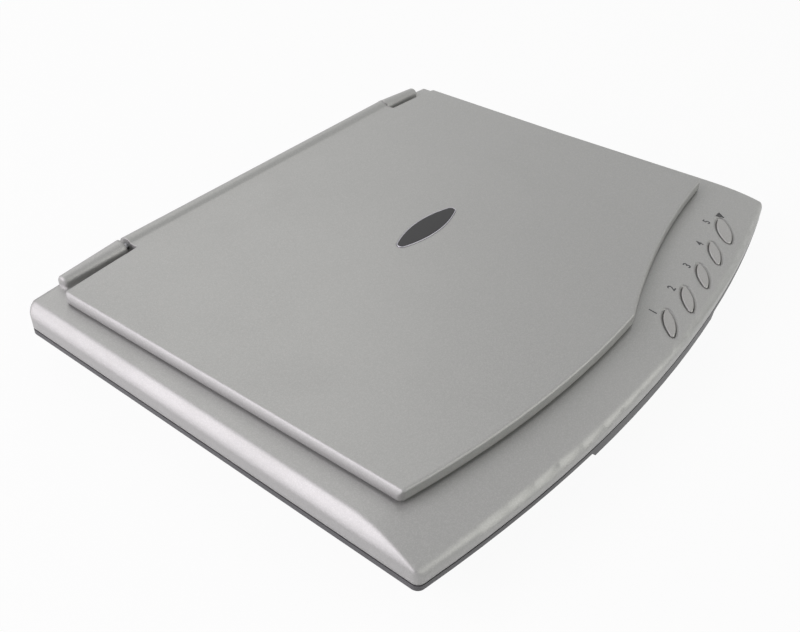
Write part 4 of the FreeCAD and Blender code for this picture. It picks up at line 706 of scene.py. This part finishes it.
class SCANNER_OT_drive(bpy.types.Operator):
    """Finish the motor, gears, rack, rod, pins and shafts"""
    bl_idname = "scanner.drive"
    bl_label = "Drive and shafts"

    def execute(self, context):
        steel = (0.6, 0.61, 0.63)
        dress(plain_plastic("gear_acetal", (0.74, 0.72, 0.66), shade=0.95, roughness=0.35,
                            depth=0.01 * MM),
              "cluster_gear", "drive_rack")
        dress(worked_metal("pinion_brass", (0.66, 0.5, 0.25), stretch=(900.0, 900.0, 60.0),
                           roughness=0.28),
              "motor_pinion")
        dress(worked_metal("motor_zinc", (0.5, 0.5, 0.5), stretch=(900.0, 900.0, 120.0),
                           roughness=0.35),
              "drive_motor")
        dress(worked_metal("ground_steel_x", steel, stretch=(40.0, 3000.0, 3000.0),
                           roughness=0.18),
              "guide_rod", "hinge_pin_left", "hinge_pin_right")
        dress(worked_metal("ground_steel_z", steel, stretch=(3000.0, 3000.0, 60.0),
                           roughness=0.2),
              "gear_axle", "motor_shaft")
        dress(plain_plastic("clip_plastic", (0.1, 0.1, 0.105)),
              "rod_clip_left", "rod_clip_right")
        return {"FINISHED"}


class SCANNER_OT_electronics(bpy.types.Operator):
    """Finish the boards, switches, chip, port and ribbon cable"""
    bl_idname = "scanner.electronics"
    bl_label = "Electronics"

    def execute(self, context):
        dress(circuit_board("board_mask"), "main_board", "button_board", "sensor_board")
        dress(plain_plastic("chip_epoxy", (0.02, 0.02, 0.021), roughness=0.45,
                            grain_size=0.2 * MM),
              "control_chip")
        dress(plain_plastic("switch_plastic", (0.04, 0.04, 0.042), roughness=0.45,
                            grain_size=0.3 * MM),
              "tact_switches", "home_switch")
        dress(worked_metal("port_plating", (0.66, 0.65, 0.62), stretch=(900.0, 80.0, 900.0),
                           roughness=0.25),
              "usb_port")
        dress(plain_plastic("ribbon_film", (0.7, 0.69, 0.64), shade=0.85, roughness=0.4,
                            grain_size=1 * MM),
              "ribbon_cable")
        return {"FINISHED"}


class SCANNER_OT_fasteners(bpy.types.Operator):
    """Finish the screws"""
    bl_idname = "scanner.fasteners"
    bl_label = "Screws"

    def execute(self, context):
        dress(worked_metal("screw_zinc", (0.36, 0.36, 0.38), stretch=(1500.0, 1500.0, 1500.0),
                           roughness=0.32),
              "housing_screws", "clip_screws", "board_screws", "motor_screws",
              "button_board_screws")
        return {"FINISHED"}


# Floor, lamps and camera

def seen_as_white(patch):
    """One for the rays that show the background: camera, glossy and transmission rays."""
    path = patch.add("LightPath").outputs
    seen = patch.math("MAXIMUM", path["Is Camera Ray"], path["Is Glossy Ray"])
    return patch.math("MAXIMUM", seen, path["Is Transmission Ray"])


def light_room(scene, strength):
    """An even dim room that looks white to the rays that show it."""
    world = scene.world or bpy.data.worlds.new("room")
    scene.world = world
    world.use_nodes = True
    world.node_tree.nodes.clear()
    patch = Patch(world.node_tree)
    room = patch.add("Background", {"Color": WHITE, "Strength": strength}).outputs[0]
    white = patch.add("Background", {"Color": WHITE, "Strength": 1.0}).outputs[0]
    patch.add("OutputWorld", {"Surface": patch.mix_shaders(seen_as_white(patch), room, white)})


def lay_floor(scene):
    """A wide white floor that keeps the object's shadow."""
    bm = bmesh.new()
    bmesh.ops.create_circle(bm, cap_ends=True, segments=FLOOR_SEGMENTS, radius=FLOOR_RADIUS)
    mesh = bpy.data.meshes.new("floor")
    bm.to_mesh(mesh)
    bm.free()
    floor = bpy.data.objects.new("floor", mesh)
    scene.collection.objects.link(floor)
    material, patch, shader = new_material("floor_white")
    shader.inputs["Base Color"].default_value = (0.88, 0.88, 0.88, 1.0)
    shader.inputs["Roughness"].default_value = 0.9
    shader.inputs["Specular IOR Level"].default_value = 0.0
    glow = patch.add("Emission", {"Color": WHITE, "Strength": 1.0}).outputs[0]
    share = patch.math("MULTIPLY", seen_as_white(patch), FLOOR_GLOW)
    leave = material.node_tree.nodes["Material Output"].inputs["Surface"]
    patch.feed(leave, patch.mix_shaders(share, shader.outputs[0], glow))
    mesh.materials.append(material)


def area_lamp(name, spot, size, power, colour):
    """A square lamp at a spot, aimed at the scanner."""
    lamp = bpy.data.lights.new(name, "AREA")
    lamp.size = size
    lamp.energy = power
    lamp.color = colour
    item = bpy.data.objects.new(name, lamp)
    item.location = spot
    item.rotation_mode = "QUATERNION"
    item.rotation_quaternion = (Vector(LAMP_AIM) - Vector(spot)).to_track_quat("-Z", "Y")
    bpy.context.scene.collection.objects.link(item)


def place_camera(scene, lens):
    """The camera at the photograph's place and angle."""
    camera = bpy.data.cameras.new("photo_camera")
    camera.lens = lens
    camera.sensor_width = 36.0
    camera.clip_start = 0.01
    camera.clip_end = 50.0
    item = bpy.data.objects.new("photo_camera", camera)
    scene.collection.objects.link(item)
    turn = Matrix((CAMERA_RIGHT, CAMERA_UP, CAMERA_BACK)).transposed()
    item.rotation_mode = "QUATERNION"
    item.rotation_quaternion = turn.to_quaternion()
    item.location = CAMERA_PLACE
    scene.camera = item


class SCANNER_OT_stage(bpy.types.Operator):
    """Set up the white floor, soft lamps and the camera"""
    bl_idname = "scanner.stage"
    bl_label = "Stage"

    def execute(self, context):
        scene = context.scene
        stage = scene.scanner_stage
        scene.view_settings.view_transform = "Standard"
        light_room(scene, stage.world_strength)
        lay_floor(scene)
        area_lamp("key_lamp", (-0.95, 0.52, 0.55), size=1.1, power=stage.key_power,
                  colour=(1.0, 0.94, 1.0))
        area_lamp("top_lamp", (0.35, 0.65, 0.80), size=0.8, power=stage.top_power,
                  colour=(1.0, 1.0, 0.95))
        area_lamp("fill_lamp", (0.60, -1.10, 0.42), size=1.2, power=stage.fill_power,
                  colour=(1.0, 1.0, 0.93))
        place_camera(scene, stage.lens)
        return {"FINISHED"}


class SCANNER_PT_sidebar(bpy.types.Panel):
    """Lists the operators in the sidebar of the 3D view"""
    bl_idname = "SCANNER_PT_sidebar"
    bl_label = "Scanner"
    bl_space_type = "VIEW_3D"
    bl_region_type = "UI"
    bl_category = "Scanner"

    def draw(self, context):
        for operator in OPERATORS:
            self.layout.operator(operator.bl_idname)


PROPERTY_GROUPS = (ScannerColours, ScannerSizes, ScannerStage)
OPERATORS = (SCANNER_OT_effects, SCANNER_OT_stage, SCANNER_OT_shells, SCANNER_OT_tray,
             SCANNER_OT_buttons, SCANNER_OT_badge, SCANNER_OT_numbers, SCANNER_OT_window,
             SCANNER_OT_cover_inside, SCANNER_OT_scan_head, SCANNER_OT_drive,
             SCANNER_OT_electronics, SCANNER_OT_fasteners)
CLASSES = PROPERTY_GROUPS + OPERATORS + (SCANNER_PT_sidebar,)


def register():
    """Register the classes and hang the property groups on the scene."""
    for item in CLASSES:
        bpy.utils.register_class(item)
    bpy.types.Scene.scanner_colours = PointerProperty(type=ScannerColours)
    bpy.types.Scene.scanner_sizes = PointerProperty(type=ScannerSizes)
    bpy.types.Scene.scanner_stage = PointerProperty(type=ScannerStage)


def unregister():
    """Take the property groups and classes away again."""
    del bpy.types.Scene.scanner_stage
    del bpy.types.Scene.scanner_sizes
    del bpy.types.Scene.scanner_colours
    for item in reversed(CLASSES):
        bpy.utils.unregister_class(item)


def main():
    """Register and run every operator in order."""
    register()
    for operator in OPERATORS:
        family, action = operator.bl_idname.split(".")
        getattr(getattr(bpy.ops, family), action)()
    bpy.context.view_layer.update()


if __name__ == "__main__":
    main()
